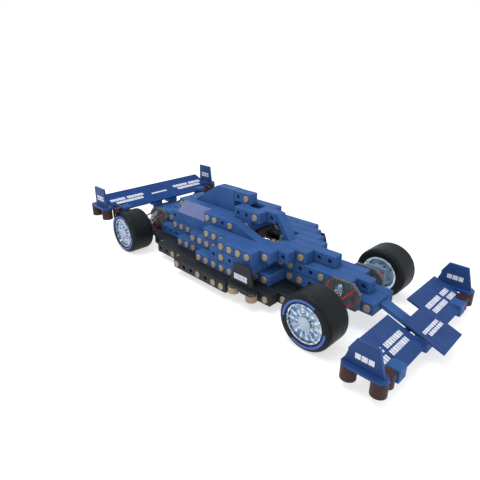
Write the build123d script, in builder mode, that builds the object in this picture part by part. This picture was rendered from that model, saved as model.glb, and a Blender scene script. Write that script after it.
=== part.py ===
from build123d import *
from math import cos, radians, sin
import os

# ----------------------------------------------------------------------------------------
# A construction-set model of an open wheel racing car: square perforated beams on one
# grid, pegs that pin them together, thin wing plates, and four wheels on stub axles.
# Millimetres. +X is forward, +Y is left, +Z is up, and the floor is at Z = 0.
# Places on the grid are given as (hole, row, level): hole 0 is over the front axle and
# counts forward, row 0 is the centre line and counts left, level 0 is at axle height.
# ----------------------------------------------------------------------------------------

# The grid and the beams
PITCH = 12.7            # from hole to hole, from row to row and from level to level
BEAM_GAP = 0.2          # between two neighbouring beams
BEAM_EDGE = 0.8         # chamfer on every edge of a beam
HOLE_DIAMETER = 4.8     # peg hole
BEAM = PITCH - BEAM_GAP

# The pegs
PEG_HEAD = 6.8          # across the flats of the eight-sided head
PEG_HEAD_THICK = 1.5
PEG_SHANK_GAP = 0.1     # radial, in a peg hole
PEG_SHANK_LENGTH = 18.2
PEG_SEAT = 0.02         # between a head and the beam under it

# The wheels
TYRE_RADIUS = 27.0
TYRE_WIDTH = 31.0
TYRE_SHOULDER = 4.4     # radius of the rounded shoulders
TRACK_OUTER = 80.2      # from the centre line to a tyre's outer face
WHEELBASE_HOLES = 23
RIM_RADIUS = 18.9
RIM_WALL = 1.8
RIM_RECESS = 0.6        # the rim's edge lies this far inside the tyre's face
RIM_SEAT = 0.05         # radial gap between rim and tyre
SPOKES = 14
SPOKE_WIDTH = 1.9
SPOKE_DEPTH = 3.2
SPOKE_SET_BACK = 1.6    # from the rim's edge to the spokes
WEB_THICK = 1.2         # closed web behind the spokes
HUB_RADIUS = 6.0
HUB_LENGTH = 13.0
CAP_RADIUS = 6.6
CAP_THICK = 1.6
AXLE_RADIUS = 3.0
AXLE_FIT = 0.05         # radial, hub on axle
AXLE_END_GAP = 0.4

# The suspension
PLATE_THICK = 3.8
PLATE_LENGTH = 38.0
PLATE_TOP = 19.9        # above the axle
PLATE_FOOT = -6.3
PLATE_CORNER = 8.3      # upper corners
PLATE_FOOT_CORNER = 3.0
ROD_RADIUS = 0.8
ROD_RIB = 0.25          # how far a rod's ribs stand out
ROD_RIB_STEP = 3.2
ROD_OVERRUN = 3.0       # past both ends, before the rods are trimmed
KINGPIN_INSET = 29.4    # from a tyre's outer face to the steering axis
KINGPIN_OFFSET = TRACK_OUTER - KINGPIN_INSET
KINGPIN_RADIUS = 1.6
KINGPIN_FIT = 0.05
CUT_OVERRUN = 1.0       # how far a cut runs past the piece it goes through
CARRIER_BACK = 3.0      # thickness of the carrier's back plate
CARRIER_INSET = 9.2     # from the steering axis to the carrier's inner face
CARRIER_BACK_OFFSET = KINGPIN_OFFSET - CARRIER_INSET
CARRIER_WIDTH = 21.0
CARRIER_HALF_HEIGHT = 11.5
CARRIER_LUG = 2.4       # thickness of a lug
LUG_WIDTH = 8.0
LUG_PAST_KINGPIN = 4.0
KNUCKLE_WIDTH = 8.0
KNUCKLE_DEPTH = 8.0
KNUCKLE_GAP = 0.25      # between the knuckle and each lug
SPRING_RADIUS = 4.2
SPRING_WIRE = 1.1
SPRING_CORE = 1.6
SPRING_TURNS = 6
SPRING_TOP = 14.0       # height over the axle
SPRING_FOOT = 2.0
AXLE_SHOULDER_RADIUS = 4.6
DISC_RADIUS = 15.0      # brake disc
DISC_THICK = 2.4
DISC_INSET = 23.2       # from a tyre's outer face to the disc's inner face
DISC_OFFSET = TRACK_OUTER - DISC_INSET
DISC_FIT = 0.05

# The wings
WING_TILT = 20.3        # degrees, front edge down
WING_CHORD = 39.0
WING_PLATE = 1.8        # thickness
PANEL_INNER = 19.05     # from the centre line to a side panel
PANEL_GAP = 0.7         # between a side panel and the base beside it
FRONT_WING_HOLE = 3.55  # the front wing's upper back edge
FRONT_WING_LEVEL = 0.22
REAR_WING_HOLE = -26.64
REAR_WING_OVER_TYRE = 14.3
CENTRE_PLATE_SHIFT = 14.2   # the front wing's middle plate lies this far down the chord
CENTRE_PLATE_STEP = 4.4     # and this far above the side panels
SPAR_WIDTH = 5.0
SPAR_HEIGHT = 2.8
SEAM = 0.02             # between faces that lie on one another
ENDPLATE_THICK = 2.4
FOOT_HOLES = 3          # length of the base under an endplate, in pitches
FOOT_CORNER = 3.8
FOOT_THICK = 2.5
FOOT_OUTBOARD = 8.7     # from a tyre's outer face to the middle of a base
FRONT_FOOT_HOLE = 5.0
FRONT_FOOT_LEVEL = -0.3
FRONT_BLOCK_HOLE = 6.0
REAR_FOOT_HOLE = -25.4
REAR_BLOCK_HOLE = -24.15
BLOCK_DROP = 0.7        # from a base's top to the middle of the blocks, in pitches
TYRE_CLEARANCE = 0.9    # round a tyre, under the rear wing
REAR_FOOT_DROP = 8.3    # from the rear wing's upper edge down to its bases
ROLLER_RADIUS = 6.6
NOSE_ROD_WIDTH = 12.4
NOSE_ROD_THICK = 4.0

# The ends of the whole model, on the grid, and the middle between them
FRONT_END = FRONT_WING_HOLE + cos(radians(WING_TILT)) * (CENTRE_PLATE_SHIFT + WING_CHORD) / PITCH
FRONT_END += sin(radians(WING_TILT)) * CENTRE_PLATE_STEP / PITCH
REAR_END = REAR_FOOT_HOLE - 1 - ROLLER_RADIUS / PITCH
MIDDLE = (FRONT_END + REAR_END) / 2

FRONT_AXLE_HOLE = 0
REAR_AXLE_HOLE = -WHEELBASE_HOLES


def at(hole, row, level):
    """The place of a grid point in millimetres."""
    return ((hole - MIDDLE) * PITCH, row * PITCH, TYRE_RADIUS + level * PITCH)


def bar(holes, levels=1):
    """A perforated block one row wide, lying along X and standing along Z."""
    with BuildPart() as block:
        Box(holes * PITCH - BEAM_GAP, BEAM, levels * PITCH - BEAM_GAP)
        chamfer(block.edges(), BEAM_EDGE)
        with Locations(Plane.XZ):
            with GridLocations(PITCH, PITCH, holes, levels):
                Hole(HOLE_DIAMETER / 2)
    return block.part


def both_sides(row):
    """The rows that a table's row stands for: itself, and its mirror image if any."""
    return (row,) if row == 0 else (row, -row)


def laid_beams(table, level):
    """Beams from a table of (row, first hole, last hole), mirrored about row 0."""
    beams = []
    for row, first, last in table:
        block = bar(last - first + 1)
        for side_row in both_sides(row):
            beams.append(block.moved(Location(at((first + last) / 2, side_row, level))))
    return beams


def standing_beams(table):
    """Upright beams from a table of (row, first hole, last hole, lowest level, highest level)."""
    beams = []
    for row, first, last, low, high in table:
        block = bar(last - first + 1, high - low + 1)
        for side_row in both_sides(row):
            place = at((first + last) / 2, side_row, (low + high) / 2)
            beams.append(block.moved(Location(place)))
    return beams


def finish(node, name):
    node.part.label = name
    export_step(node.part, f"parts/{name}.step")


os.makedirs("parts", exist_ok=True)

# ----------------------------------------------------------------------------------------
# Beams, level by level. Each table's columns: row, first hole, last hole.
# ----------------------------------------------------------------------------------------

FLOOR_ROWS = (
    (0, -22, -2),
    (1, -22, -2),
    (2, -24, -6),
    (3, -21, -4),
    (4, -19, -6),
    (4, -5, -5),
    (5, -15, -9),
)
KEEL_ROWS = (
    (0, -24, -13),
    (1, -24, -13),
    (0, -12, 2),
    (1, -12, 2),
)
SIDEPOD_ROWS = (
    (2, -21, -6),
    (3, -17, -16),
    (3, -14, -6),
    (4, -13, -12),
    (4, -10, -9),
)
MIDDLE_ROWS = (
    (0, -24, -10),
    (1, -24, -10),
    (0, -6, 1),
    (1, -6, 0),
    (2, -19, -7),
    (3, -14, -7),
    (4, -10, -9),
)
UPPER_ROWS = (
    (0, -20, -10),
    (1, -20, -10),
    (0, -6, -2),
    (1, -6, -4),
    (2, -19, -19),
    (2, -12, -5),
    (3, -13, -6),
    (4, -10, -9),
)
SHOULDER_ROWS = (
    (0, -19, -10),
    (1, -19, -10),
    (2, -12, -11),
)
ROLL_HOOP_ROWS = (
    (0, -9, -8),
    (1, -11, -9),
)
FIN_BEAM_ROWS = ((0, -12, -11),)

# Upright beams: row, first hole, last hole, lowest level, highest level
SIDEPOD_POSTS = (
    (3, -15, -15, 0, 1),
    (4, -11, -11, 0, 1),
)
MIDDLE_POSTS = ((4, -8, -7, 1, 2),)
SHOULDER_POSTS = (
    (2, -14, -14, 2, 3),
    (2, -13, -13, 2, 3),
)

with BuildPart() as floor_beams:
    add(laid_beams(FLOOR_ROWS, -1))
finish(floor_beams, "floor_beams")

with BuildPart() as keel_beams:
    add(laid_beams(KEEL_ROWS, 0))
finish(keel_beams, "keel_beams")

with BuildPart() as sidepod_beams:
    add(laid_beams(SIDEPOD_ROWS, 0) + standing_beams(SIDEPOD_POSTS))
finish(sidepod_beams, "sidepod_beams")

with BuildPart() as middle_beams:
    add(laid_beams(MIDDLE_ROWS, 1) + standing_beams(MIDDLE_POSTS))
finish(middle_beams, "middle_beams")

with BuildPart() as upper_beams:
    add(laid_beams(UPPER_ROWS, 2))
finish(upper_beams, "upper_beams")

with BuildPart() as shoulder_beams:
    add(laid_beams(SHOULDER_ROWS, 3) + standing_beams(SHOULDER_POSTS))
finish(shoulder_beams, "shoulder_beams")

with BuildPart() as roll_hoop_beams:
    add(laid_beams(ROLL_HOOP_ROWS, 4) + laid_beams(FIN_BEAM_ROWS, 5))
finish(roll_hoop_beams, "roll_hoop_beams")

# ----------------------------------------------------------------------------------------
# Pegs: level, row whose outer face carries the head, holes
# ----------------------------------------------------------------------------------------

PEG_ROWS = (
    (-1, 5, (-15, -12, -10, -9)),
    (-1, 4, (-17, -16, -5)),
    (-1, 3, (-20,)),
    (0, 4, (-13, -12, -11, -10, -9)),
    (0, 3, (-17, -16, -15, -7, -6)),
    (0, 1, (-5, -4, 2)),
    (1, 4, (-10,)),
    (1, 3, (-15, -14, -13, -12)),
    (1, 2, (-19, -18, -17)),
    (1, 1, (-21, -6, -5, -2)),
    (2, 4, (-10, -9, -8, -7)),
    (2, 3, (-13, -12, -11, -6)),
    (2, 1, (-20, -4)),
    (3, 2, (-14, -13, -11)),
    (3, 1, (-19, -10)),
    (4, 1, (-9,)),
    (5, 0, (-11,)),
)
SHORT_PEG_ROWS = ((-1, 3, (-4,)),)      # these pin their own row alone


def peg(reach):
    """A peg whose head's seat is at Y = 0, its head towards -Y."""
    with BuildPart() as pin:
        with BuildSketch(Plane.XZ.offset(PEG_SEAT)):
            RegularPolygon(PEG_HEAD / 2, 8, major_radius=False)
        extrude(amount=PEG_HEAD_THICK)
        chamfer(pin.faces().sort_by(Axis.Y)[0].edges(), PEG_HEAD_THICK / 4)
        with BuildSketch(Plane.XZ.offset(PEG_SEAT)):
            Circle(HOLE_DIAMETER / 2 - PEG_SHANK_GAP)
        extrude(amount=-reach)
    return pin.part


def pegs(side):
    """All pegs of one side: side is -1 for the right and 1 for the left."""
    pins = []
    turn = 0 if side < 0 else 180
    for table, reach in ((PEG_ROWS, PEG_SHANK_LENGTH), (SHORT_PEG_ROWS, BEAM)):
        for level, row, holes in table:
            middle_limit = (row + 0.5) * PITCH - BEAM_GAP
            pin = peg(min(reach, middle_limit))
            for hole in holes:
                x, y, z = at(hole, side * (row + 0.5), level)
                seat = y - side * BEAM_GAP / 2
                pins.append(pin.moved(Location((x, seat, z), (0, 0, turn))))
    return pins


with BuildPart() as pegs_right:
    add(pegs(-1))
finish(pegs_right, "pegs_right")

with BuildPart() as pegs_left:
    add(pegs(1))
finish(pegs_left, "pegs_left")

# ----------------------------------------------------------------------------------------
# Engine cover, side panels and cockpit
# ----------------------------------------------------------------------------------------

FIN_REAR = -18.0        # holes
FIN_SHOULDER = -14.8
FIN_FRONT = -12.5


def side_outline(points, thickness, row):
    """A plate in the XZ plane: its corners as (hole, level), centred on a row."""
    corners = [(at(hole, 0, level)[0], at(hole, 0, level)[2]) for hole, level in points]
    with BuildPart() as plate:
        with BuildSketch(Plane.XZ.offset(-row * PITCH)):
            with BuildLine():
                Polyline(corners, close=True)
            make_face()
        extrude(amount=thickness / 2, both=True)
    return plate.part


SURFACE_GAP = BEAM_GAP / 2 / PITCH

with BuildPart() as fin_plate:
    add(
        side_outline(
            (
                (FIN_REAR, 3.5 + SURFACE_GAP),
                (FIN_SHOULDER, 5.5 - SURFACE_GAP),
                (FIN_FRONT - SURFACE_GAP, 5.5 - SURFACE_GAP),
                (FIN_FRONT - SURFACE_GAP, 3.5 + SURFACE_GAP),
            ),
            BEAM,
            0,
        )
    )
finish(fin_plate, "fin_plate")

SIDE_PANEL_FIRST = -18.5
SIDE_PANEL_LAST = -14.5
SIDE_PANEL_LENGTH = (SIDE_PANEL_LAST - SIDE_PANEL_FIRST) * PITCH - BEAM_GAP
SIDE_PANEL_MIDDLE = (SIDE_PANEL_FIRST + SIDE_PANEL_LAST) / 2

with BuildPart() as side_panels:
    with Locations(*[at(SIDE_PANEL_MIDDLE, row, 2) for row in (2, -2)]):
        Box(SIDE_PANEL_LENGTH, BEAM, BEAM)
    chamfer(side_panels.edges(), BEAM_EDGE)
finish(side_panels, "side_panels")

with BuildPart() as slanted_panels:
    inner_y = 1.5 * PITCH + BEAM_GAP / 2
    outer_y = 2.5 * PITCH - BEAM_GAP / 2
    foot_z = TYRE_RADIUS + 2.5 * PITCH + BEAM_GAP / 2
    head_z = TYRE_RADIUS + 3.5 * PITCH - BEAM_GAP / 2
    with BuildSketch(Plane.YZ.offset(at(SIDE_PANEL_MIDDLE, 0, 0)[0])):
        with BuildLine():
            Polyline((outer_y, foot_z), (inner_y, foot_z), (inner_y, head_z), close=True)
        make_face()
    extrude(amount=SIDE_PANEL_LENGTH / 2, both=True)
    mirror(about=Plane.XZ)
finish(slanted_panels, "slanted_panels")

FAIRING_REAR = -10.5
FAIRING_FRONT = -7.8
FAIRING_INSET = PEG_HEAD_THICK + BEAM_GAP   # room for the peg heads behind a fairing
FAIRING_ROW = 2 + FAIRING_INSET / 2 / PITCH

with BuildPart() as cockpit_fairings:
    for fairing_row in (FAIRING_ROW, -FAIRING_ROW):
        add(
            side_outline(
                (
                    (FAIRING_REAR + SURFACE_GAP, 2.5 + SURFACE_GAP),
                    (FAIRING_REAR + SURFACE_GAP, 3.45),
                    (FAIRING_FRONT, 2.5 + SURFACE_GAP),
                ),
                BEAM - FAIRING_INSET,
                fairing_row,
            )
        )
finish(cockpit_fairings, "cockpit_fairings")

HALO_TOP = (-7.7, 4.5)  # hole and level of the strut's upper end
HALO_FOOT = (-6.2, 2.6)
HALO_WIDTH = 12.0

with BuildPart() as halo_strut:
    add(
        side_outline(
            (
                (HALO_FOOT[0] - 0.3, 2.5 + SURFACE_GAP),
                (HALO_FOOT[0] + 0.2, 2.5 + SURFACE_GAP),
                (HALO_TOP[0] + 0.35, 4.45),
                (HALO_TOP[0] + 0.2 + SURFACE_GAP, 4.45),
                (HALO_TOP[0] + 0.2 + SURFACE_GAP, 3.95),
            ),
            HALO_WIDTH,
            0,
        )
    )
finish(halo_strut, "halo_strut")

SEAT_WIDTH = 24.0
SEAT_REAR = -9.4
SEAT_KNEE = -7.9
SEAT_FRONT = -7.0
SEAT_SHELL = 0.3        # thickness of the seat, in pitches

with BuildPart() as seat:
    add(
        side_outline(
            (
                (SEAT_REAR, 0.5 + SURFACE_GAP),
                (SEAT_FRONT, 0.5 + SURFACE_GAP),
                (SEAT_FRONT, 0.5 + SEAT_SHELL),
                (SEAT_KNEE, 0.5 + SEAT_SHELL),
                (SEAT_REAR + SEAT_SHELL, 2.6),
                (SEAT_REAR, 2.6),
            ),
            SEAT_WIDTH,
            0,
        )
    )
finish(seat, "seat")

CONSOLE_HOLE = -6.72
CONSOLE_LEVEL = 1.2
CONSOLE_LENGTH = 5.3
CONSOLE_HEIGHT = 11.5

with BuildPart() as cockpit_console:
    with Locations(at(CONSOLE_HOLE, 0, CONSOLE_LEVEL)):
        Box(CONSOLE_LENGTH, SEAT_WIDTH, CONSOLE_HEIGHT)
finish(cockpit_console, "cockpit_console")

# ----------------------------------------------------------------------------------------
# Ramps at the front of the floor
# ----------------------------------------------------------------------------------------

RAMP_REAR = -5.5        # holes
RAMP_FRONT = -3.5
RAMP_FALL = 0.53        # in pitches

with BuildPart() as floor_ramps:
    for side in (1, -1):
        add(
            side_outline(
                (
                    (RAMP_REAR + SURFACE_GAP, -0.5 - SURFACE_GAP),
                    (RAMP_FRONT, -0.5 - RAMP_FALL),
                    (RAMP_FRONT, -1.5 + SURFACE_GAP),
                    (RAMP_REAR + SURFACE_GAP, -1.5 + SURFACE_GAP),
                ),
                BEAM,
                side * 2,
            )
        )
finish(floor_ramps, "floor_ramps")

# ----------------------------------------------------------------------------------------
# Suspension: plates on the body, ribbed rods, spring struts and hub carriers.
# Each corner is built for the front left wheel about its own axle point, which is the
# centre line at the axle, and is then placed four times.
# ----------------------------------------------------------------------------------------

BODY_FACE = 1.5 * PITCH
CARRIER_FACE = CARRIER_BACK_OFFSET


def corner_place(hole, side):
    """Where a corner's own frame stands: turned half round for the right side."""
    x, y, z = at(hole, 0, 0)
    return Location((x, 0, z), (0, 0, 0 if side > 0 else 180))


CORNERS = (
    ("front_left", FRONT_AXLE_HOLE, 1),
    ("front_right", FRONT_AXLE_HOLE, -1),
    ("rear_left", REAR_AXLE_HOLE, 1),
    ("rear_right", REAR_AXLE_HOLE, -1),
)


def placed(part, holes):
    """Copies of one corner's part at both sides of the given axles."""
    return [part.moved(corner_place(hole, side)) for hole in holes for side in (1, -1)]


BOTH_AXLES = (FRONT_AXLE_HOLE, REAR_AXLE_HOLE)

with BuildPart() as one_plate:
    with BuildSketch(Plane.XZ.offset(-BODY_FACE)):
        with Locations((0, (PLATE_TOP + PLATE_FOOT) / 2)):
            Rectangle(PLATE_LENGTH, PLATE_TOP - PLATE_FOOT)
        chamfer(vertices().group_by(Axis.Y)[-1], PLATE_CORNER)
        chamfer(vertices().group_by(Axis.Y)[0], PLATE_FOOT_CORNER)
    extrude(amount=-PLATE_THICK)

with BuildPart() as suspension_plates:
    add(placed(one_plate.part, BOTH_AXLES))
finish(suspension_plates, "suspension_plates")

PLATE_FACE = BODY_FACE + PLATE_THICK

# Rods: forward and up from the axle, in pitches, at the plate and then at the carrier
FRONT_RODS = (
    (-1.03, 1.17, -0.67, 0.71),
    (1.03, 1.17, 0.67, 0.71),
    (-1.03, 0.2, -0.67, -0.24),
    (1.03, 0.2, 0.67, -0.24),
)
REAR_RODS = (
    (-0.76, 1.1, -0.7, 0.74),
    (0.94, 1.12, 0.51, 0.63),
    (0.17, -0.25, 0.1, -0.47),
)


def ribbed_rod(start, end):
    """A round rod with ribs, from one point to another."""
    axis = end - start
    length = axis.length
    base = Plane(origin=start, z_dir=axis)
    ribs = int(length / ROD_RIB_STEP) - 1
    with BuildPart() as rod:
        with BuildSketch(base):
            Circle(ROD_RADIUS)
        extrude(amount=length)
        for index in range(ribs):
            with BuildSketch(base.offset(ROD_RIB_STEP * (index + 1))):
                Circle(ROD_RADIUS + ROD_RIB)
            extrude(amount=ROD_RIB_STEP / 2)
    return rod.part


def trim_to_gap():
    """Cuts what is being built to the space between a plate and a hub carrier."""
    with Locations((0, (PLATE_FACE + CARRIER_FACE) / 2, 0)):
        Box(4 * PITCH, CARRIER_FACE - PLATE_FACE, 4 * PITCH, mode=Mode.INTERSECT)


def rod_set(table, side):
    """The rods of one corner; a corner's own frame runs backwards on the right."""
    with BuildPart() as rods:
        for plate_x, plate_z, hub_x, hub_z in table:
            start = Vector(side * plate_x * PITCH, PLATE_FACE, plate_z * PITCH)
            end = Vector(side * hub_x * PITCH, CARRIER_FACE, hub_z * PITCH)
            overrun = (end - start).normalized() * ROD_OVERRUN
            add(ribbed_rod(start - overrun, end + overrun))
        trim_to_gap()
    return rods.part


for end, table, hole in (("front", FRONT_RODS, FRONT_AXLE_HOLE), ("rear", REAR_RODS, REAR_AXLE_HOLE)):
    with BuildPart() as rods:
        for side in (1, -1):
            add(rod_set(table, side).moved(corner_place(hole, side)))
    finish(rods, f"{end}_suspension_rods")

STRUT_TOP = (0, PLATE_FACE, SPRING_TOP)
STRUT_FOOT = (0, CARRIER_FACE, SPRING_FOOT)

with BuildPart() as one_strut:
    strut_axis = Vector(*STRUT_FOOT) - Vector(*STRUT_TOP)
    strut_base = Plane(origin=STRUT_TOP, z_dir=strut_axis)
    with BuildSketch(strut_base.offset(-ROD_OVERRUN)):
        Circle(SPRING_CORE)
    extrude(amount=strut_axis.length + 2 * ROD_OVERRUN)
    trim_to_gap()
    turn_step = strut_axis.length / (SPRING_TURNS + 1)
    for turn in range(SPRING_TURNS):
        with BuildSketch(strut_base.offset(turn_step * (turn + 1) - SPRING_WIRE / 2)):
            Circle(SPRING_RADIUS)
        extrude(amount=SPRING_WIRE)

with BuildPart() as spring_struts:
    add(placed(one_strut.part, BOTH_AXLES))
finish(spring_struts, "spring_struts")

# The carrier: a back plate that the rods meet, and two lugs that hold the kingpin
LUG_REACH = KINGPIN_OFFSET + LUG_PAST_KINGPIN
AXLE_TIP = TRACK_OUTER - RIM_RECESS - SPOKE_SET_BACK - SPOKE_DEPTH

with BuildPart() as one_front_carrier:
    with Locations((0, CARRIER_FACE + CARRIER_BACK / 2, 0)):
        Box(CARRIER_WIDTH, CARRIER_BACK, 2 * CARRIER_HALF_HEIGHT)
    for end in (1, -1):
        lug_z = end * (CARRIER_HALF_HEIGHT - CARRIER_LUG / 2)
        with Locations((0, (CARRIER_FACE + LUG_REACH) / 2, lug_z)):
            Box(LUG_WIDTH, LUG_REACH - CARRIER_FACE, CARRIER_LUG)
    with Locations((0, KINGPIN_OFFSET, 0)):
        Cylinder(
            KINGPIN_RADIUS + KINGPIN_FIT, 2 * (CARRIER_HALF_HEIGHT + CUT_OVERRUN), mode=Mode.SUBTRACT
        )

with BuildPart() as front_carriers:
    add(placed(one_front_carrier.part, (FRONT_AXLE_HOLE,)))
finish(front_carriers, "front_hub_carriers")

KNUCKLE_HALF_HEIGHT = CARRIER_HALF_HEIGHT - CARRIER_LUG - KNUCKLE_GAP
AXLE_SHOULDER = TRACK_OUTER - RIM_RECESS - SPOKE_SET_BACK - HUB_LENGTH - AXLE_END_GAP

with BuildPart() as one_knuckle:
    with Locations((0, KINGPIN_OFFSET, 0)):
        Box(KNUCKLE_WIDTH, KNUCKLE_DEPTH, 2 * KNUCKLE_HALF_HEIGHT)
        Cylinder(KINGPIN_RADIUS, 2 * CARRIER_HALF_HEIGHT)
    with BuildSketch(Plane.XZ.offset(-KINGPIN_OFFSET)):
        Circle(AXLE_SHOULDER_RADIUS)
    extrude(amount=-(AXLE_SHOULDER - KINGPIN_OFFSET))
    with BuildSketch(Plane.XZ.offset(-KINGPIN_OFFSET)):
        Circle(AXLE_RADIUS)
    extrude(amount=-(AXLE_TIP - KINGPIN_OFFSET))

for corner, hole, side in CORNERS[:2]:
    with BuildPart() as knuckle:
        add(one_knuckle.part.moved(corner_place(hole, side)))
    finish(knuckle, f"knuckle_{corner}")

with BuildPart() as one_rear_carrier:
    with Locations((0, CARRIER_FACE + CARRIER_BACK / 2, 0)):
        Box(CARRIER_WIDTH, CARRIER_BACK, 2 * CARRIER_HALF_HEIGHT)
    with BuildSketch(Plane.XZ.offset(-CARRIER_FACE)):
        Circle(AXLE_SHOULDER_RADIUS)
    extrude(amount=-(AXLE_SHOULDER - CARRIER_FACE))
    with BuildSketch(Plane.XZ.offset(-CARRIER_FACE)):
        Circle(AXLE_RADIUS)
    extrude(amount=-(AXLE_TIP - CARRIER_FACE))

with BuildPart() as rear_carriers:
    add(placed(one_rear_carrier.part, (REAR_AXLE_HOLE,)))
finish(rear_carriers, "rear_hub_carriers")

with BuildPart() as one_disc:
    with BuildSketch(Plane.XZ.offset(-DISC_OFFSET)):
        Circle(DISC_RADIUS)
        Circle(AXLE_SHOULDER_RADIUS + DISC_FIT, mode=Mode.SUBTRACT)
    extrude(amount=-DISC_THICK)
    chamfer(one_disc.edges().filter_by(GeomType.CIRCLE).group_by(Edge.radius)[-1], DISC_THICK / 4)

for corner, hole, side in CORNERS[:2]:
    with BuildPart() as brake_disc:
        add(one_disc.part.moved(corner_place(hole, side)))
    finish(brake_disc, f"brake_disc_{corner}")

with BuildPart() as rear_discs:
    add(placed(one_disc.part, (REAR_AXLE_HOLE,)))
finish(rear_discs, "rear_brake_discs")

# ----------------------------------------------------------------------------------------
# Wheels: tyre, spoked rim and centre cap, built about the same corner frame
# ----------------------------------------------------------------------------------------

TYRE_OUTER = TRACK_OUTER
TYRE_INNER = TRACK_OUTER - TYRE_WIDTH
RIM_OUTER = TYRE_OUTER - RIM_RECESS
RIM_INNER = TYRE_INNER + RIM_RECESS
SPOKE_FACE = RIM_OUTER - SPOKE_SET_BACK

with BuildPart() as one_tyre:
    with BuildSketch(Plane.YZ):
        with Locations(((TYRE_OUTER + TYRE_INNER) / 2, (TYRE_RADIUS + RIM_RADIUS) / 2)):
            Rectangle(TYRE_WIDTH, TYRE_RADIUS - RIM_RADIUS)
        fillet(vertices().group_by(Axis.Y)[-1], TYRE_SHOULDER)
    revolve(axis=Axis.Y)

with BuildPart() as one_rim:
    with BuildSketch(Plane.XZ.offset(-RIM_INNER)):
        Circle(RIM_RADIUS - RIM_SEAT)
        Circle(RIM_RADIUS - RIM_SEAT - RIM_WALL, mode=Mode.SUBTRACT)
    extrude(amount=-(RIM_OUTER - RIM_INNER))
    with BuildSketch(Plane.XZ.offset(-SPOKE_FACE)):
        with PolarLocations((RIM_RADIUS - RIM_WALL / 2 + HUB_RADIUS / 2) / 2, SPOKES):
            Rectangle(RIM_RADIUS - RIM_WALL / 2 - HUB_RADIUS / 2, SPOKE_WIDTH)
    extrude(amount=SPOKE_DEPTH)
    with BuildSketch(Plane.XZ.offset(-(SPOKE_FACE - SPOKE_DEPTH))):
        Circle(RIM_RADIUS - RIM_WALL / 2)
    extrude(amount=WEB_THICK)
    with BuildSketch(Plane.XZ.offset(-SPOKE_FACE)):
        Circle(HUB_RADIUS)
    extrude(amount=HUB_LENGTH)
    with BuildSketch(Plane.XZ.offset(-(SPOKE_FACE - SPOKE_DEPTH))):
        Circle(AXLE_RADIUS + AXLE_FIT)
    extrude(amount=HUB_LENGTH, mode=Mode.SUBTRACT)

with BuildPart() as one_cap:
    with BuildSketch(Plane.XZ.offset(-SPOKE_FACE)):
        Circle(CAP_RADIUS)
    extrude(amount=-CAP_THICK)
    fillet(one_cap.faces().sort_by(Axis.Y)[-1].edges(), CAP_THICK / 3)

for corner, hole, side in CORNERS:
    for name, piece in (("tyre", one_tyre), ("rim", one_rim), ("wheel_cap", one_cap)):
        with BuildPart() as wheel_piece:
            add(piece.part.moved(corner_place(hole, side)))
        finish(wheel_piece, f"{name}_{corner}")

# ----------------------------------------------------------------------------------------
# Wings: both are tilted plates between upright endplates on flanged bases
# ----------------------------------------------------------------------------------------

FOOT_ROW = (TRACK_OUTER + FOOT_OUTBOARD) / PITCH
PANEL_OUTER = (FOOT_ROW - 0.5) * PITCH - PANEL_GAP
REAR_WING_LEVEL = (TYRE_RADIUS + REAR_WING_OVER_TYRE) / PITCH
REAR_FOOT_LEVEL = REAR_WING_LEVEL - REAR_FOOT_DROP / PITCH


def wing_plane(hole, level, forward=0.0, up=0.0):
    """The plane of a wing's upper face: X runs down the chord from its back edge."""
    tilt = radians(WING_TILT)
    x, y, z = at(hole, 0, level)
    along = Vector(cos(tilt), 0, -sin(tilt))
    normal = Vector(sin(tilt), 0, cos(tilt))
    origin = Vector(x, 0, z) + along * forward + normal * up
    return Plane(origin=origin, x_dir=along, z_dir=normal)


FRONT_WING = wing_plane(FRONT_WING_HOLE, FRONT_WING_LEVEL)
REAR_WING = wing_plane(REAR_WING_HOLE, REAR_WING_LEVEL)


def wing_plate(plane, first, last, width, thickness, top=0.0):
    """A plate on the centre line, from one place down the chord to another."""
    with BuildPart() as plate:
        with BuildSketch(plane.offset(top)):
            with Locations(((first + last) / 2, 0)):
                Rectangle(last - first, width)
        extrude(amount=-thickness)
    return plate.part


def side_panels_of(plane, columns):
    """A wing's two side panels, cut out round the given columns."""
    with BuildPart() as panels:
        with BuildSketch(plane):
            with Locations((WING_CHORD / 2, 0)):
                Rectangle(WING_CHORD, 2 * PANEL_OUTER)
                Rectangle(WING_CHORD, 2 * PANEL_INNER, mode=Mode.SUBTRACT)
        extrude(amount=-WING_PLATE)
        add(columns, mode=Mode.SUBTRACT)
    return panels.part


def spar(plane):
    """The flat bar across the car under a wing's plates."""
    low = (WING_CHORD - SPAR_WIDTH) / 2
    return wing_plate(
        plane, low, low + SPAR_WIDTH, 2 * PANEL_OUTER, SPAR_HEIGHT, -WING_PLATE - SEAM
    )


def endplates(points, row):
    """A pair of upright endplates from one side view."""
    return [side_outline(points, ENDPLATE_THICK, side * row) for side in (1, -1)]


def bases(middle_hole, row, top_level):
    """The flat feet under a pair of endplates."""
    x, y, z = at(middle_hole, row, top_level)
    with BuildPart() as feet:
        with BuildSketch(Plane.XY.offset(z)):
            with Locations((x, y), (x, -y)):
                Rectangle(FOOT_HOLES * PITCH - BEAM_GAP, BEAM)
            chamfer(vertices(), FOOT_CORNER)
        extrude(amount=-FOOT_THICK)
    return feet.part


def rollers(middle_hole, top_level):
    """Two upright cylinders under each base."""
    x, y, z = at(middle_hole, FOOT_ROW, top_level)
    with BuildPart() as drums:
        with BuildSketch(Plane.XY.offset(z - FOOT_THICK - SEAM)):
            with Locations((x, y), (x, -y)):
                with GridLocations((FOOT_HOLES - 1) * PITCH, 1, 2, 1):
                    Circle(ROLLER_RADIUS)
        extrude(amount=-PITCH)
    return drums.part


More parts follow.
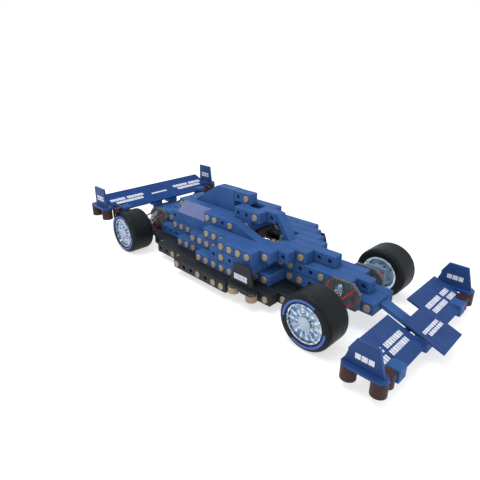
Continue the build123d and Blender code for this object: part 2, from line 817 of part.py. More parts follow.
def edge_blocks(hole, level):
    """The square blocks that reach through a wing's side panels at the front edge."""
    x, y, z = at(hole, FOOT_ROW - 2, level)
    with BuildPart() as blocks:
        with Locations((x, y, z), (x, -y, z)):
            Box(BEAM, BEAM, BEAM)
        chamfer(blocks.edges(), BEAM_EDGE)
        add(rear_tyre_space(), mode=Mode.SUBTRACT)
    return blocks.part


def edge_drums(hole, level):
    """The round drums between those blocks and the bases."""
    x, y, z = at(hole, FOOT_ROW - 1, level)
    with BuildPart() as drums:
        with Locations((x, y, z), (x, -y, z)):
            Cylinder(DRUM_RADIUS, BEAM)
        add(rear_tyre_space(), mode=Mode.SUBTRACT)
    return drums.part


def rear_tyre_space():
    """The room that the rear tyres need, with clearance all round."""
    x, y, z = at(REAR_AXLE_HOLE, 0, 0)
    with BuildPart() as space:
        with BuildSketch(Plane.XZ):
            with Locations((x, z)):
                Circle(TYRE_RADIUS + TYRE_CLEARANCE)
        extrude(amount=TRACK_OUTER + TYRE_CLEARANCE, both=True)
    return space.part


def edge_cutters(hole, level):
    """Upright columns that open a wing over its blocks and drums."""
    x, y, z = at(hole, FOOT_ROW - 2, level)
    drum_x, drum_y, drum_z = at(hole, FOOT_ROW - 1, level)
    side = BEAM + 2 * CUTOUT_CLEARANCE
    with BuildPart() as cutters:
        with Locations((x, y, z), (x, -y, z)):
            Box(side, side, CUTTER_HEIGHT)
        with Locations((drum_x, drum_y, drum_z), (drum_x, -drum_y, drum_z)):
            Cylinder(DRUM_RADIUS + CUTOUT_CLEARANCE, CUTTER_HEIGHT)
    return cutters.part


DRUM_RADIUS = BEAM / 2 - PANEL_GAP
CUTOUT_CLEARANCE = 0.2
CUTTER_HEIGHT = 3 * PITCH

WINGS = (
    ("front", FRONT_WING, FRONT_FOOT_HOLE, FRONT_FOOT_LEVEL, FRONT_BLOCK_HOLE),
    ("rear", REAR_WING, REAR_FOOT_HOLE, REAR_FOOT_LEVEL, REAR_BLOCK_HOLE),
)

for end, plane, foot_hole, foot_level, block_hole in WINGS:
    block_level = foot_level - BLOCK_DROP
    cutters = edge_cutters(block_hole, block_level)

    with BuildPart() as panels:
        add(side_panels_of(plane, cutters))
    finish(panels, f"{end}_wing_panels")

    with BuildPart() as cross_bar:
        add(spar(plane))
        add(cutters, mode=Mode.SUBTRACT)
    finish(cross_bar, f"{end}_wing_spar")

    with BuildPart() as feet:
        add(bases(foot_hole, FOOT_ROW, foot_level))
    finish(feet, f"{end}_wing_bases")

    with BuildPart() as drums:
        add([rollers(foot_hole, foot_level), edge_drums(block_hole, block_level)])
    finish(drums, f"{end}_wing_rollers")

    with BuildPart() as blocks:
        add(edge_blocks(block_hole, block_level))
    finish(blocks, f"{end}_wing_blocks")

with BuildPart() as front_wing_centre:
    add(
        wing_plate(
            FRONT_WING,
            CENTRE_PLATE_SHIFT,
            CENTRE_PLATE_SHIFT + WING_CHORD,
            2 * PANEL_INNER - SEAM,
            WING_PLATE,
            CENTRE_PLATE_STEP,
        )
    )
finish(front_wing_centre, "front_wing_centre_plate")

with BuildPart() as rear_wing_centre:
    add(wing_plate(REAR_WING, 0, WING_CHORD, 2 * (PANEL_INNER - SEAM), WING_PLATE))
finish(rear_wing_centre, "rear_wing_centre_plate")

with BuildPart() as front_wing_endplates:
    add(
        endplates(
            (
                (3.6, FRONT_FOOT_LEVEL + SURFACE_GAP / 4),
                (3.85, 0.45),
                (3.85, 0.7),
                (4.3, 1.5),
                (5.77, 1.5),
                (6.27, FRONT_FOOT_LEVEL + SURFACE_GAP / 4),
            ),
            FOOT_ROW,
        )
    )
finish(front_wing_endplates, "front_wing_endplates")

REAR_ENDPLATE_HEIGHT = 1.85     # in pitches

with BuildPart() as rear_wing_endplates:
    add(
        endplates(
            (
                (-26.3, REAR_FOOT_LEVEL + SURFACE_GAP / 4),
                (-26.24, REAR_FOOT_LEVEL + REAR_ENDPLATE_HEIGHT),
                (-24.43, REAR_FOOT_LEVEL + REAR_ENDPLATE_HEIGHT),
                (-24.2, REAR_FOOT_LEVEL + SURFACE_GAP / 4),
            ),
            FOOT_ROW,
        )
    )
finish(rear_wing_endplates, "rear_wing_endplates")

# The nose rod runs under the spar, and a spacer on it carries the middle plate
ROD_TOP = -(WING_PLATE + SPAR_HEIGHT + 2 * SEAM)
ROD_REACH = 40.0                # down the chord from the side panels' back edge
ROD_BACK = -30.0                # up the chord, before the nose cuts it off
SPACER_FIRST = 24.0
SPACER_LAST = 38.0

with BuildPart() as nose_rod:
    nose_x = at(KEEL_ROWS[-2][2] + 0.5, 0, 0)[0]
    add(wing_plate(FRONT_WING, ROD_BACK, ROD_REACH, NOSE_ROD_WIDTH, NOSE_ROD_THICK, ROD_TOP))
    split(bisect_by=Plane.YZ.offset(nose_x), keep=Keep.TOP)
    add(
        wing_plate(
            FRONT_WING,
            SPACER_FIRST,
            SPACER_LAST,
            NOSE_ROD_WIDTH,
            CENTRE_PLATE_STEP - WING_PLATE - SEAM - ROD_TOP,
            CENTRE_PLATE_STEP - WING_PLATE - SEAM,
        )
    )
finish(nose_rod, "nose_rod")

with BuildPart() as nose_blocks:
    x, y, z = at(FRONT_BLOCK_HOLE, 1, FRONT_FOOT_LEVEL - BLOCK_DROP)
    with Locations((x, y, z), (x, -y, z)):
        Box(BEAM, BEAM, BEAM)
    chamfer(nose_blocks.edges(), BEAM_EDGE)
    under_plate = FRONT_WING.offset(CENTRE_PLATE_STEP - WING_PLATE - SEAM)
    split(bisect_by=under_plate, keep=Keep.BOTTOM)
finish(nose_blocks, "nose_blocks")

PYLON_HOLE = -24.5

with BuildPart() as rear_wing_pylons:
    with Locations(*[at(PYLON_HOLE, row, 2.5) for row in (1, -1)]):
        Box(BEAM, BEAM, 2 * PITCH - BEAM_GAP)
    split(bisect_by=REAR_WING.offset(-WING_PLATE - SEAM), keep=Keep.BOTTOM)
finish(rear_wing_pylons, "rear_wing_pylons")

# ----------------------------------------------------------------------------------------
# Barge boards: the same bases and plates beside the floor, each on two round studs
# ----------------------------------------------------------------------------------------

BARGE_HOLE = -7.0
BARGE_ROW = 5.0
BARGE_LEVEL = -0.3      # top of the bases
BARGE_LUG_LENGTH = 10.0
BARGE_LUG_WIDTH = 5.0
BARGE_LUG_HEIGHT = 9.0
STUD_RADIUS = 6.1
STUD_HEIGHT = 6.8
STUD_DROP = 3.2         # from a base down to its studs
STUD_STEM_RADIUS = 3.4
STUD_SPACING = 2        # holes

barge_x, barge_y, barge_top = at(BARGE_HOLE, BARGE_ROW, BARGE_LEVEL)
barge_underside = barge_top - FOOT_THICK

with BuildPart() as barge_boards:
    add(bases(BARGE_HOLE, BARGE_ROW, BARGE_LEVEL))
    add(
        endplates(
            (
                (BARGE_HOLE - 1.35, BARGE_LEVEL - SURFACE_GAP),
                (BARGE_HOLE - 1.05, 0.2),
                (BARGE_HOLE - 0.91, 1.38),
                (BARGE_HOLE - 0.6, 1.5),
                (BARGE_HOLE + 0.8, 1.5),
                (BARGE_HOLE + 1.0, 1.0),
                (BARGE_HOLE + 1.3, BARGE_LEVEL - SURFACE_GAP),
            ),
            BARGE_ROW,
        )
    )
    lug_y = (BARGE_ROW - 0.5) * PITCH + BARGE_LUG_WIDTH / 2
    lug_z = barge_underside - BARGE_LUG_HEIGHT / 2
    with Locations((barge_x, lug_y, lug_z), (barge_x, -lug_y, lug_z)):
        Box(BARGE_LUG_LENGTH, BARGE_LUG_WIDTH, BARGE_LUG_HEIGHT)
finish(barge_boards, "barge_boards")

with BuildPart() as floor_studs:
    stud_top = barge_underside - STUD_DROP
    with BuildSketch(Plane.XY.offset(stud_top)):
        with Locations((barge_x, barge_y), (barge_x, -barge_y)):
            with GridLocations(STUD_SPACING * PITCH, 1, 2, 1):
                Circle(STUD_RADIUS)
    extrude(amount=-STUD_HEIGHT)
    with BuildSketch(Plane.XY.offset(barge_underside - SEAM)):
        with Locations((barge_x, barge_y), (barge_x, -barge_y)):
            with GridLocations(STUD_SPACING * PITCH, 1, 2, 1):
                Circle(STUD_STEM_RADIUS)
    extrude(amount=-STUD_DROP - SEAM)
finish(floor_studs, "floor_studs")
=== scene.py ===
"""The looks of a construction-set model of an open wheel racing car, built on its CAD frame."""

import logging
import math
from dataclasses import dataclass
from enum import Enum
from typing import Callable, Sequence

import bpy
from bpy.types import Material, MeshPolygon, NodeSocket, Object
from mathutils import Matrix, Vector


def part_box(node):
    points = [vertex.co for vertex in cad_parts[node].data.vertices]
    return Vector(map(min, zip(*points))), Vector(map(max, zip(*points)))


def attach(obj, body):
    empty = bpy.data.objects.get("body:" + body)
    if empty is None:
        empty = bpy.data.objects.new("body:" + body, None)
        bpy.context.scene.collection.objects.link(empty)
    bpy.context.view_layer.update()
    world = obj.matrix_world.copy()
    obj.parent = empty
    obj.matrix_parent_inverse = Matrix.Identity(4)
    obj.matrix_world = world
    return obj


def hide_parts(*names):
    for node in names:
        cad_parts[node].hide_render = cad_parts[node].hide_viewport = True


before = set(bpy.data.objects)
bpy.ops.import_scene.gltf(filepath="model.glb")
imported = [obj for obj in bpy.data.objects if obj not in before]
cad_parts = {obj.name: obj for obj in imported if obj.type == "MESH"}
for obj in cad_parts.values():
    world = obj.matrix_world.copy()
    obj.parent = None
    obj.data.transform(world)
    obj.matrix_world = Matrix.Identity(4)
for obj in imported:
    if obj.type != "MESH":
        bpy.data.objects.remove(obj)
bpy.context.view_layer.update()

Colour = tuple[float, float, float]
Point = tuple[float, float, float]
Source = NodeSocket | Colour | float
FaceTest = Callable[[MeshPolygon], bool]

log = logging.getLogger("racing_car")

MM = 0.001
PITCH = 12.7 * MM
HOLE_X = -9.66034613 * PITCH    # a column of the beams' holes
HOLE_Z = 27.0 * MM              # a level of the beams' holes
STRAIGHT = 0.9                  # how closely a face has to look along a direction


class Side(Enum):
    """A side of the car, as the sign of Y on it."""

    LEFT = 1
    RIGHT = -1


class End(Enum):
    """An end of the car, as the sign of X towards it."""

    FRONT = 1
    REAR = -1


class Axis(Enum):
    """A direction of the car's own frame."""

    X = 0
    Y = 1
    Z = 2


def tone(red: int, green: int, blue: int) -> Colour:
    """Turns a colour as the eye sees it, 0 to 255, into the linear one that a shader takes."""
    shares = (value / 255 for value in (red, green, blue))
    return tuple(share / 12.92 if share <= 0.04045 else ((share + 0.055) / 1.055) ** 2.4 for share in shares)


# ----- Node graphs and finishes -----


class Graph:
    """A material's node graph round one Principled shader."""

    def __init__(self, name: str) -> None:
        """Starts an empty material.

        Args:
            name: The material's name.
        """
        self.material = bpy.data.materials.new(name)
        self.material.use_nodes = True
        self.tree = self.material.node_tree
        self.shader = self.tree.nodes["Principled BSDF"]
        self.place = self.add("TexCoord", {}, "Object")

    def feed(self, socket: NodeSocket, value: Source) -> None:
        """Links a source to a socket, or sets a plain value on it.

        Args:
            socket: The socket.
            value: Another node's output, a number, a colour or a vector.
        """
        if isinstance(value, NodeSocket):
            self.tree.links.new(value, socket)
        else:
            socket.default_value = (*value, 1.0) if socket.type == "RGBA" else value

    def add(
        self, kind: str, inputs: dict[str | int, Source], output: str | int = 0, **options: str | int
    ) -> NodeSocket:
        """Adds a node.

        Args:
            kind: The node's type, less its first word.
            inputs: What its inputs get, by name or number.
            output: The name or number of the output that is wanted.
            options: The node's own settings.

        Returns:
            The wanted output.
        """
        node = self.tree.nodes.new(f"ShaderNode{kind}")
        for option, value in options.items():
            setattr(node, option, value)
        for key, source in inputs.items():
            self.feed(node.inputs[key], source)
        return node.outputs[output]

    def noise(
        self, scale: float, detail: float = 3.0, rough: float = 0.55, stretch: Point | None = None
    ) -> NodeSocket:
        """Adds a pattern of so many clouds in a metre, from 0 to 1, drawn out along each axis by stretch."""
        place = self.place if stretch is None else self.stretched(stretch)
        return self.add("TexNoise", {"Scale": scale, "Detail": detail, "Roughness": rough, "Vector": place}, "Fac")

    def stretched(self, stretch: Point) -> NodeSocket:
        """Gives the place on the piece with each axis drawn out."""
        return self.add("Mapping", {"Scale": stretch, "Vector": self.place}, vector_type="TEXTURE")

    def span(
        self, value: NodeSocket, low: float, high: float, to_low: float = 0.0, to_high: float = 1.0
    ) -> NodeSocket:
        """Stretches a value from the range of low to high to the range of to_low to to_high."""
        inputs = {"From Min": low, "From Max": high, "To Min": to_low, "To Max": to_high, "Value": value}
        return self.add("MapRange", inputs, "Result")

    def sums(self, kind: str, first: NodeSocket, second: NodeSocket | float = 0.0) -> NodeSocket:
        """Works out one value from two: kind is the operation, such as MULTIPLY."""
        return self.add("Math", {0: first, 1: second}, operation=kind)

    def blend(self, share: NodeSocket, first: Source, second: Source) -> NodeSocket:
        """Mixes two colours: share is how much of the second one there is."""
        return self.add("Mix", {"Factor": share, 6: first, 7: second}, 2, data_type="RGBA")

    def edges(self, radius: float) -> NodeSocket:
        """Finds the edges of a piece by how far its faces turn within a radius.

        Args:
            radius: The radius, in metres.

        Returns:
            A mask that is 1 on edges and 0 on flat faces.
        """
        rounded = self.add("Bevel", {"Radius": radius}, "Normal", samples=4)
        flat = self.add("NewGeometry", {}, "Normal")
        turned = self.add("VectorMath", {0: rounded, 1: flat}, "Value", operation="DOT_PRODUCT")
        return self.span(turned, 1.0, 0.86)

    def from_hole(self, axis: Axis, hole: float) -> NodeSocket:
        """How far a point lies along an axis from the nearest hole of the grid that one hole is given of."""
        along = self.add("SeparateXYZ", {0: self.place}, axis.value)
        return self.sums("PINGPONG", self.sums("SUBTRACT", along, hole), PITCH / 2)

    def bump(
        self, height: NodeSocket, strength: float, depth: float, after: NodeSocket | None = None
    ) -> NodeSocket:
        """Turns a height of 0 to 1 into a bumped normal, depth metres high and laid over the normal after."""
        under = {} if after is None else {"Normal": after}
        return self.add("Bump", {"Strength": strength, "Distance": depth, "Height": height, **under}, "Normal")

    def source(self, name: str) -> NodeSocket:
        """Gives what already feeds one of the shader's sockets."""
        return self.shader.inputs[name].links[0].from_socket

    def shade(self, **sources: Source) -> None:
        """Feeds the shader's sockets, named with _ for a space."""
        for name, source in sources.items():
            self.feed(self.shader.inputs[name.replace("_", " ")], source)


@dataclass(frozen=True)
class Finish:
    """What every finish has: a name, its main colour and a way to feed the shader."""

    name: str
    colour: Colour

    def paint(self, g: Graph) -> None:
        """Feeds the shader of a new material. Every kind of finish has its own way."""
        raise NotImplementedError

    def make(self) -> Material:
        """Makes the material.

        Returns:
            The material.
        """
        g = Graph(self.name)
        self.paint(g)
        return g.material


@dataclass(frozen=True)
class MouldedPlastic(Finish):
    """Moulded plastic: slightly cloudy colour, fine grain, rubbed edges and handling marks."""

    shade: Colour
    worn: Colour
    roughness: float = 0.42
    wear: float = 0.55
    specular: float = 0.2
    clouds: float = 38.0
    patches: float = 420.0
    scratches: float = 900.0
    grain: float = 2600.0

    def paint(self, g: Graph) -> None:
        """Feeds the shader.

        Args:
            g: The graph.
        """
        cloud = g.noise(self.clouds, 4, 0.6)
        body = g.blend(g.span(cloud, 0.3, 0.7), self.shade, self.colour)
        patch = g.span(g.noise(self.patches, 3, 0.65), 0.5, 0.72)
        patchy = g.sums("MULTIPLY", g.edges(0.6 * MM), g.span(patch, 0, 1, 0.35, 1.0))
        scratch = g.noise(self.scratches, 2, 0.5, (1.0, 0.12, 0.3))
        fine = g.bump(g.noise(self.grain, 2, 0.6), 0.35, 0.04 * MM)
        g.shade(
            Base_Color=g.blend(g.sums("MULTIPLY", patchy, self.wear), body, self.worn),
            Roughness=g.span(scratch, 0.3, 0.75, self.roughness - 0.09, self.roughness + 0.13),
            Specular_IOR_Level=self.specular,
            Normal=g.bump(cloud, 0.2, 0.2 * MM, fine),
        )


@dataclass(frozen=True)
class PegPlastic(MouldedPlastic):
    """Moulded plastic of the peg heads: each has a sunk ring and a cross slot, set out on the hole grid, painted
    darker as painted shade.
    """

    ring_radius: float = 1.9 * MM
    ring_width: float = 0.35 * MM
    slot_length: float = 1.9 * MM
    slot_width: float = 0.45 * MM
    sunk: Colour = tone(96, 80, 58)
    depth: float = 0.3 * MM

    def paint(self, g: Graph) -> None:
        """Feeds the shader.

        Args:
            g: The graph.
        """
        super().paint(g)
        across = g.from_hole(Axis.X, HOLE_X)
        up = g.from_hole(Axis.Z, HOLE_Z)
        square = g.sums("ADD", g.sums("MULTIPLY", across, across), g.sums("MULTIPLY", up, up))
        reach = g.sums("POWER", square, 0.5)
        away = g.sums("ABSOLUTE", g.sums("SUBTRACT", reach, self.ring_radius))
        ring = g.span(away, self.ring_width / 2, self.ring_width, 1.0, 0.0)
        arm = g.span(g.sums("MINIMUM", across, up), self.slot_width / 2, self.slot_width, 1.0, 0.0)
        tip = g.span(reach, self.slot_length - self.slot_width, self.slot_length, 1.0, 0.0)
        mark = g.sums("MAXIMUM", ring, g.sums("MULTIPLY", arm, tip))
        # The ring and the slot are painted darker: painted shade in their recesses.
        g.shade(
            Base_Color=g.blend(g.sums("MULTIPLY", mark, 0.8), g.source("Base Color"), self.sunk),
            Normal=g.bump(g.span(mark, 0.0, 1.0, 1.0, 0.0), 0.8, self.depth, g.source("Normal")),
        )


@dataclass(frozen=True)
class RibbedPlastic(MouldedPlastic):
    """Moulded plastic with fine parallel ribs along the car."""

    ribs: float = 190.0
    rib_depth: float = 0.25 * MM

    def paint(self, g: Graph) -> None:
        """Feeds the shader.

        Args:
            g: The graph.
        """
        super().paint(g)
        inputs = {"Scale": self.ribs, "Distortion": 0.2, "Vector": g.place}
        ribs = g.add("TexWave", inputs, "Fac", bands_direction="Z")
        g.shade(Normal=g.bump(ribs, 0.7, self.rib_depth, g.source("Normal")))


@dataclass(frozen=True)
class StreakedPlastic(MouldedPlastic):
    """Thin moulded plate whose colour runs in faint streaks down its slope."""

    streak: Colour = (0, 0, 0)
    strength: float = 0.5
    streaks: float = 900.0

    def paint(self, g: Graph) -> None:
        """Feeds the shader.

        Args:
            g: The graph.
        """
        super().paint(g)
        lines = g.span(g.noise(self.streaks, 3, 0.6, (14.0, 1.0, 14.0)), 0.48, 0.7)
        share = g.sums("MULTIPLY", lines, self.strength)
        g.shade(Base_Color=g.blend(share, g.source("Base Color"), self.streak))


@dataclass(frozen=True)
class RoughPlate(Finish):
    """A rough cast plate with light and dark blotches."""

    pale: Colour
    roughness: float = 0.72
    blotches: float = 170.0
    grain: float = 2200.0

    def paint(self, g: Graph) -> None:
        """Feeds the shader.

        Args:
            g: The graph.
        """
        blotch = g.span(g.noise(self.blotches, 5, 0.7), 0.36, 0.68)
        worn = g.sums("MULTIPLY", g.edges(0.5 * MM), 0.5)
        coarse = g.bump(blotch, 0.4, 0.3 * MM)
        g.shade(
            Base_Color=g.blend(worn, g.blend(blotch, self.colour, self.pale), self.pale),
            Roughness=g.span(g.noise(800), 0.3, 0.7, self.roughness - 0.1, self.roughness + 0.12),
            Normal=g.bump(g.noise(self.grain, 3, 0.7), 0.5, 0.1 * MM, coarse),
        )


@dataclass(frozen=True)
class Rubber(Finish):
    """Smooth tyre rubber: nearly black, with a faint bloom and turning marks round the tyre."""

    bloom: Colour
    roughness: float = 0.46
    specular: float = 0.12

    def paint(self, g: Graph) -> None:
        """Feeds the shader.

        Args:
            g: The graph.
        """
        dust = g.span(g.noise(60, 4, 0.6), 0.42, 0.72, 0.0, 0.55)
        marks = g.noise(500, 2, 0.5, (9.0, 0.5, 9.0))
        g.shade(
            Base_Color=g.blend(dust, self.colour, self.bloom),
            Roughness=g.span(marks, 0.3, 0.7, self.roughness - 0.06, self.roughness + 0.12),
            Specular_IOR_Level=self.specular,
            Normal=g.bump(g.noise(1800, 2, 0.6), 0.25, 0.05 * MM),
        )


@dataclass(frozen=True)
class Metal(Finish):
    """Plated or dull metal with fine scratches and patches of a second colour: darker smears on dull metal,
    painted blue reflections on chrome, and on some a painted glow.
    """

    smear_and_reflection: Colour
    roughness: float = 0.12
    patch_scale: float = 120.0
    metallic: float = 1.0
    low: float = 0.4
    high: float = 0.66
    painted_glow: float = 0.0

    def paint(self, g: Graph) -> None:
        """Feeds the shader.

        Args:
            g: The graph.
        """
        # Patches of the second colour: smears on dull metal, painted blue reflections on the chrome finishes.
        patch = g.span(g.noise(self.patch_scale, 3, 0.6), self.low, self.high)
        rubbed = g.sums("MULTIPLY", g.edges(0.4 * MM), 0.6)
        body = g.blend(rubbed, g.blend(patch, self.colour, self.smear_and_reflection), self.colour)
        scratch = g.noise(1500, 3, 0.6, (1.0, 1.0, 0.2))
        smoothest = max(self.roughness - 0.05, 0.03)
        g.shade(
            Base_Color=body,
            Metallic=self.metallic,
            Roughness=g.span(scratch, 0.3, 0.75, smoothest, self.roughness + 0.14),
            Normal=g.bump(scratch, 0.15, 0.05 * MM),
        )
        # Painted light: the emission makes the part glow though it is no lamp, standing in for light that it would
        # reflect.
        if self.painted_glow:
            g.shade(Emission_Color=body, Emission_Strength=self.painted_glow)


@dataclass(frozen=True)
class Paint(Finish):
    """Thin printed paint with a slightly uneven edge and gloss."""

    thin: Colour
    roughness: float = 0.38
    wear: float = 0.5

    def paint(self, g: Graph) -> None:
        """Feeds the shader."""
        rub = g.span(g.noise(900, 4, 0.7), 0.45, 0.7, 0.0, self.wear)
        g.shade(
            Base_Color=g.blend(rub, self.colour, self.thin),
            Roughness=g.span(g.noise(1100, 2), 0.3, 0.7, self.roughness - 0.06, self.roughness + 0.12),
            Normal=g.bump(g.noise(2400, 2), 0.2, 0.03 * MM),
        )


@dataclass(frozen=True)
class FloorPaper(Finish):
    """The plain pale sheet that the car stands on."""

    painted_glow: float

    def paint(self, g: Graph) -> None:
        """Feeds the shader.

        Args:
            g: The graph.
        """
        soft = g.span(g.noise(6), 0.3, 0.7)
        shade = tuple(0.985 * value for value in self.colour)
        g.shade(
            Base_Color=g.blend(soft, self.colour, shade),
            Roughness=0.85,
            Emission_Strength=self.painted_glow,
            Emission_Color=(1.0, 1.0, 1.0),
        )


FINISHES: tuple[Finish, ...] = (
    MouldedPlastic("beam_blue", tone(51, 85, 138), tone(43, 73, 123), tone(84, 122, 180), 0.5, specular=0.06),
    MouldedPlastic("floor_charcoal", tone(31, 36, 40), tone(23, 27, 31), tone(58, 64, 70), 0.5),
    PegPlastic("peg_tan", tone(148, 133, 111), tone(124, 110, 90), tone(184, 169, 142), 0.45),
    MouldedPlastic("seat_brown", tone(52, 36, 34), tone(36, 25, 24), tone(78, 58, 52), 0.5),
    MouldedPlastic("roller_brown", tone(54, 33, 32), tone(43, 26, 26), tone(84, 56, 52), 0.5),
    MouldedPlastic("panel_lavender", tone(98, 110, 148), tone(84, 96, 136), tone(134, 146, 182), 0.4),
    StreakedPlastic(
        "wing_blue", tone(40, 67, 118), tone(34, 58, 105), tone(62, 95, 150), 0.45,
        specular=0.1, streak=tone(15, 33, 74),
    ),
    # A darker, less red copy of wing_blue for the rear wing: painted shade that offsets the pale sheen the lamps
    # put on its plates.
    StreakedPlastic(
        "wing_blue_rear", tone(18, 58, 115), tone(14, 50, 104), tone(44, 88, 150), 0.5,
        specular=0.08, streak=tone(5, 25, 72),
    ),
    RibbedPlastic("endplate_blue", tone(30, 63, 116), tone(24, 52, 101), tone(58, 94, 148), 0.45),
    RoughPlate("plate_grey", tone(50, 56, 59), tone(84, 92, 98)),
    MouldedPlastic("rod_red", tone(150, 26, 38), tone(122, 18, 30), tone(192, 92, 108), 0.28),
    Rubber("tyre_rubber", tone(18, 22, 25), tone(29, 34, 38)),
    # The chrome finishes (rim, spring, fan, liner) take blue as their second colour: a painted reflection of the
    # blue car.
    Metal("rim_chrome", tone(196, 206, 216), tone(70, 108, 152), 0.2, 420.0, 0.85, 0.44, 0.62),
    Metal("spring_chrome", tone(222, 226, 230), tone(60, 100, 150), 0.1, 300.0, 1.0, 0.48, 0.62),
    Metal("cap_metal", tone(160, 174, 188), tone(134, 150, 170), 0.42, 90.0, 0.4),
    Metal("dull_metal", tone(120, 126, 132), tone(78, 86, 94), 0.36, 160.0, 0.8),
    # From here on each finish has a painted glow: painted light that keeps the part bright in shade. The liner's
    # pale, barely metallic colour is also a painted reflection of the sky.
    Metal("disc_metal", tone(112, 134, 152), tone(82, 106, 130), 0.4, 70.0, 0.2, painted_glow=0.1),
    Metal("brake_metal", tone(124, 148, 168), tone(92, 118, 142), 0.4, 70.0, 0.2, painted_glow=0.24),
    Metal("pale_steel", tone(104, 132, 152), tone(70, 94, 116), 0.35, 200.0, 0.25, painted_glow=0.1),
    Metal("fan_chrome", tone(142, 160, 178), tone(50, 92, 146), 0.24, 130.0, 0.6, 0.44, 0.6, 0.02),
    Metal("liner_metal", tone(196, 212, 226), tone(96, 138, 178), 0.3, 260.0, 0.25, 0.5, 0.62, 0.3),
    Paint("arc_paint", tone(34, 76, 160), tone(26, 56, 128)),
    Paint("mark_paint", tone(204, 207, 216), tone(120, 132, 164), 0.4, 0.7),
    MouldedPlastic("gear_olive", tone(122, 118, 98), tone(96, 94, 78), tone(150, 146, 122), 0.5),
    MouldedPlastic("worm_black", tone(26, 22, 24), tone(18, 15, 17), tone(58, 52, 54), 0.4),
)


# ----- Modelling by hand: primitives, edit-mode work and the bookkeeping of a finished piece -----


def mode(name: str) -> None:
    """Enters a mode of the active object, EDIT or OBJECT."""
    bpy.ops.object.mode_set(mode=name)


def pick(obj: Object) -> None:
    """Makes one object the only selected and active one.

    Args:
        obj: The object.
    """
    bpy.ops.object.select_all(action="DESELECT")
    obj.select_set(True)
    bpy.context.view_layer.objects.active = obj


def settled(name: str) -> Object:
    """Names the primitive that was just added, and moves its place, turn and size into its mesh.

    Args:
        name: The name.

    Returns:
        The object.
    """
    obj = bpy.context.object
    obj.name = obj.data.name = name
    pick(obj)
    bpy.ops.object.transform_apply(location=True, rotation=True, scale=True)
    return obj


def outward(obj: Object) -> Object:
    """Merges doubled points and turns every face outwards.

    Args:
        obj: The piece.

    Returns:
        The piece.
    """
    pick(obj)
    mode("EDIT")
    bpy.ops.mesh.select_all(action="SELECT")
    bpy.ops.mesh.remove_doubles(threshold=1e-6)
    bpy.ops.mesh.normals_make_consistent(inside=False)
    mode("OBJECT")
    return obj


def applied(obj: Object, kind: str, **values: float | str) -> Object:
    """Adds a modifier to a piece and applies it.

    Args:
        obj: The piece.
        kind: The modifier's type.
        values: Its settings.

    Returns:
        The piece.
    """
    pick(obj)
    modifier = obj.modifiers.new(kind.lower(), kind)
    for name, value in values.items():
        setattr(modifier, name, value)
    bpy.ops.object.modifier_apply(modifier=modifier.name)
    return obj


def bevelled(obj: Object, width: float, segments: int = 2) -> Object:
    """Rounds a piece's sharp edges: segments is how many faces the rounding has across."""
    smallest = math.radians(40.0)
    return applied(obj, "BEVEL", width=width, segments=segments, limit_method="ANGLE", angle_limit=smallest)


def smooth(obj: Object, angle: float = 35.0) -> Object:
    """Shades a piece smooth except over sharp edges.

    Args:
        obj: The piece.
        angle: The smallest turn of a sharp edge, in degrees.

    Returns:
        The piece.
    """
    pick(obj)
    bpy.ops.object.shade_smooth_by_angle(angle=math.radians(angle))
    return obj


def facing(axis: Axis, sign: int = 0) -> FaceTest:
    """Makes a test for the faces that look along an axis, to the side of the sign or to both for 0."""
    ways = (sign,) if sign else (1, -1)
    return lambda face: any(face.normal[axis.value] * way > STRAIGHT for way in ways)


def choose_faces(obj: Object, wanted: FaceTest) -> None:
    """Enters edit mode with only the wanted faces selected.

    Args:
        obj: The piece.
        wanted: Says of a face whether it is wanted.
    """
    pick(obj)
    mode("EDIT")
    bpy.ops.mesh.select_mode(type="FACE")
    bpy.ops.mesh.select_all(action="DESELECT")
    mode("OBJECT")
    for face in obj.data.polygons:
        face.select = wanted(face)
    mode("EDIT")


def inset(
    obj: Object,
    wanted: FaceTest,
    *steps: tuple[float, float],
    each: bool = True,
    cut: bool = False,
) -> None:
    """Insets the wanted faces of a piece.

    Args:
        obj: The piece.
        wanted: Says of a face whether it is wanted.
        steps: The width and the rise of each inset in turn.
        each: Whether each face is inset alone.
        cut: Whether the innermost faces are deleted.
    """
    choose_faces(obj, wanted)
    for width, rise in steps:
        bpy.ops.mesh.inset(thickness=width, depth=rise, use_individual=each)
    if cut:
        bpy.ops.mesh.delete(type="FACE")
    mode("OBJECT")


def closed(obj: Object, close: Callable[..., set[str]], **options: int) -> Object:
    """Closes a piece's open edges.

    Args:
        obj: The piece.
        close: The operator that closes them.
        options: The operator's options.

    Returns:
        The closed piece.
    """
    pick(obj)
    mode("EDIT")
    bpy.ops.mesh.select_mode(type="EDGE")
    bpy.ops.mesh.select_all(action="DESELECT")
    bpy.ops.mesh.select_non_manifold()
    close(**options)
    mode("OBJECT")
    return outward(obj)


def block(name: str, middle: Point, size: Point, turn: Point = (0, 0, 0)) -> Object:
    """Adds a box as a start for a piece, by its middle, its sizes and its turn in radians."""
    bpy.ops.mesh.primitive_cube_add(size=1, location=middle, rotation=turn, scale=size)
    return settled(name)


def drum(name: str, middle: Point, radius: float, depth: float, axis: Axis, sides: int = 32) -> Object:
    """Adds a round bar as a start for a piece.

    Args:
        name: The piece's name.
        middle: Its middle.
        radius: Its radius.
        depth: Its length.
        axis: The direction it lies along.
        sides: How many sides it has.

    Returns:
        The bar, with its place in its mesh.
    """
    turn = {Axis.X: (0, math.pi / 2, 0), Axis.Y: (math.pi / 2, 0, 0), Axis.Z: (0, 0, 0)}[axis]
    bpy.ops.mesh.primitive_cylinder_add(vertices=sides, radius=radius, depth=depth, location=middle, rotation=turn)
    return settled(name)


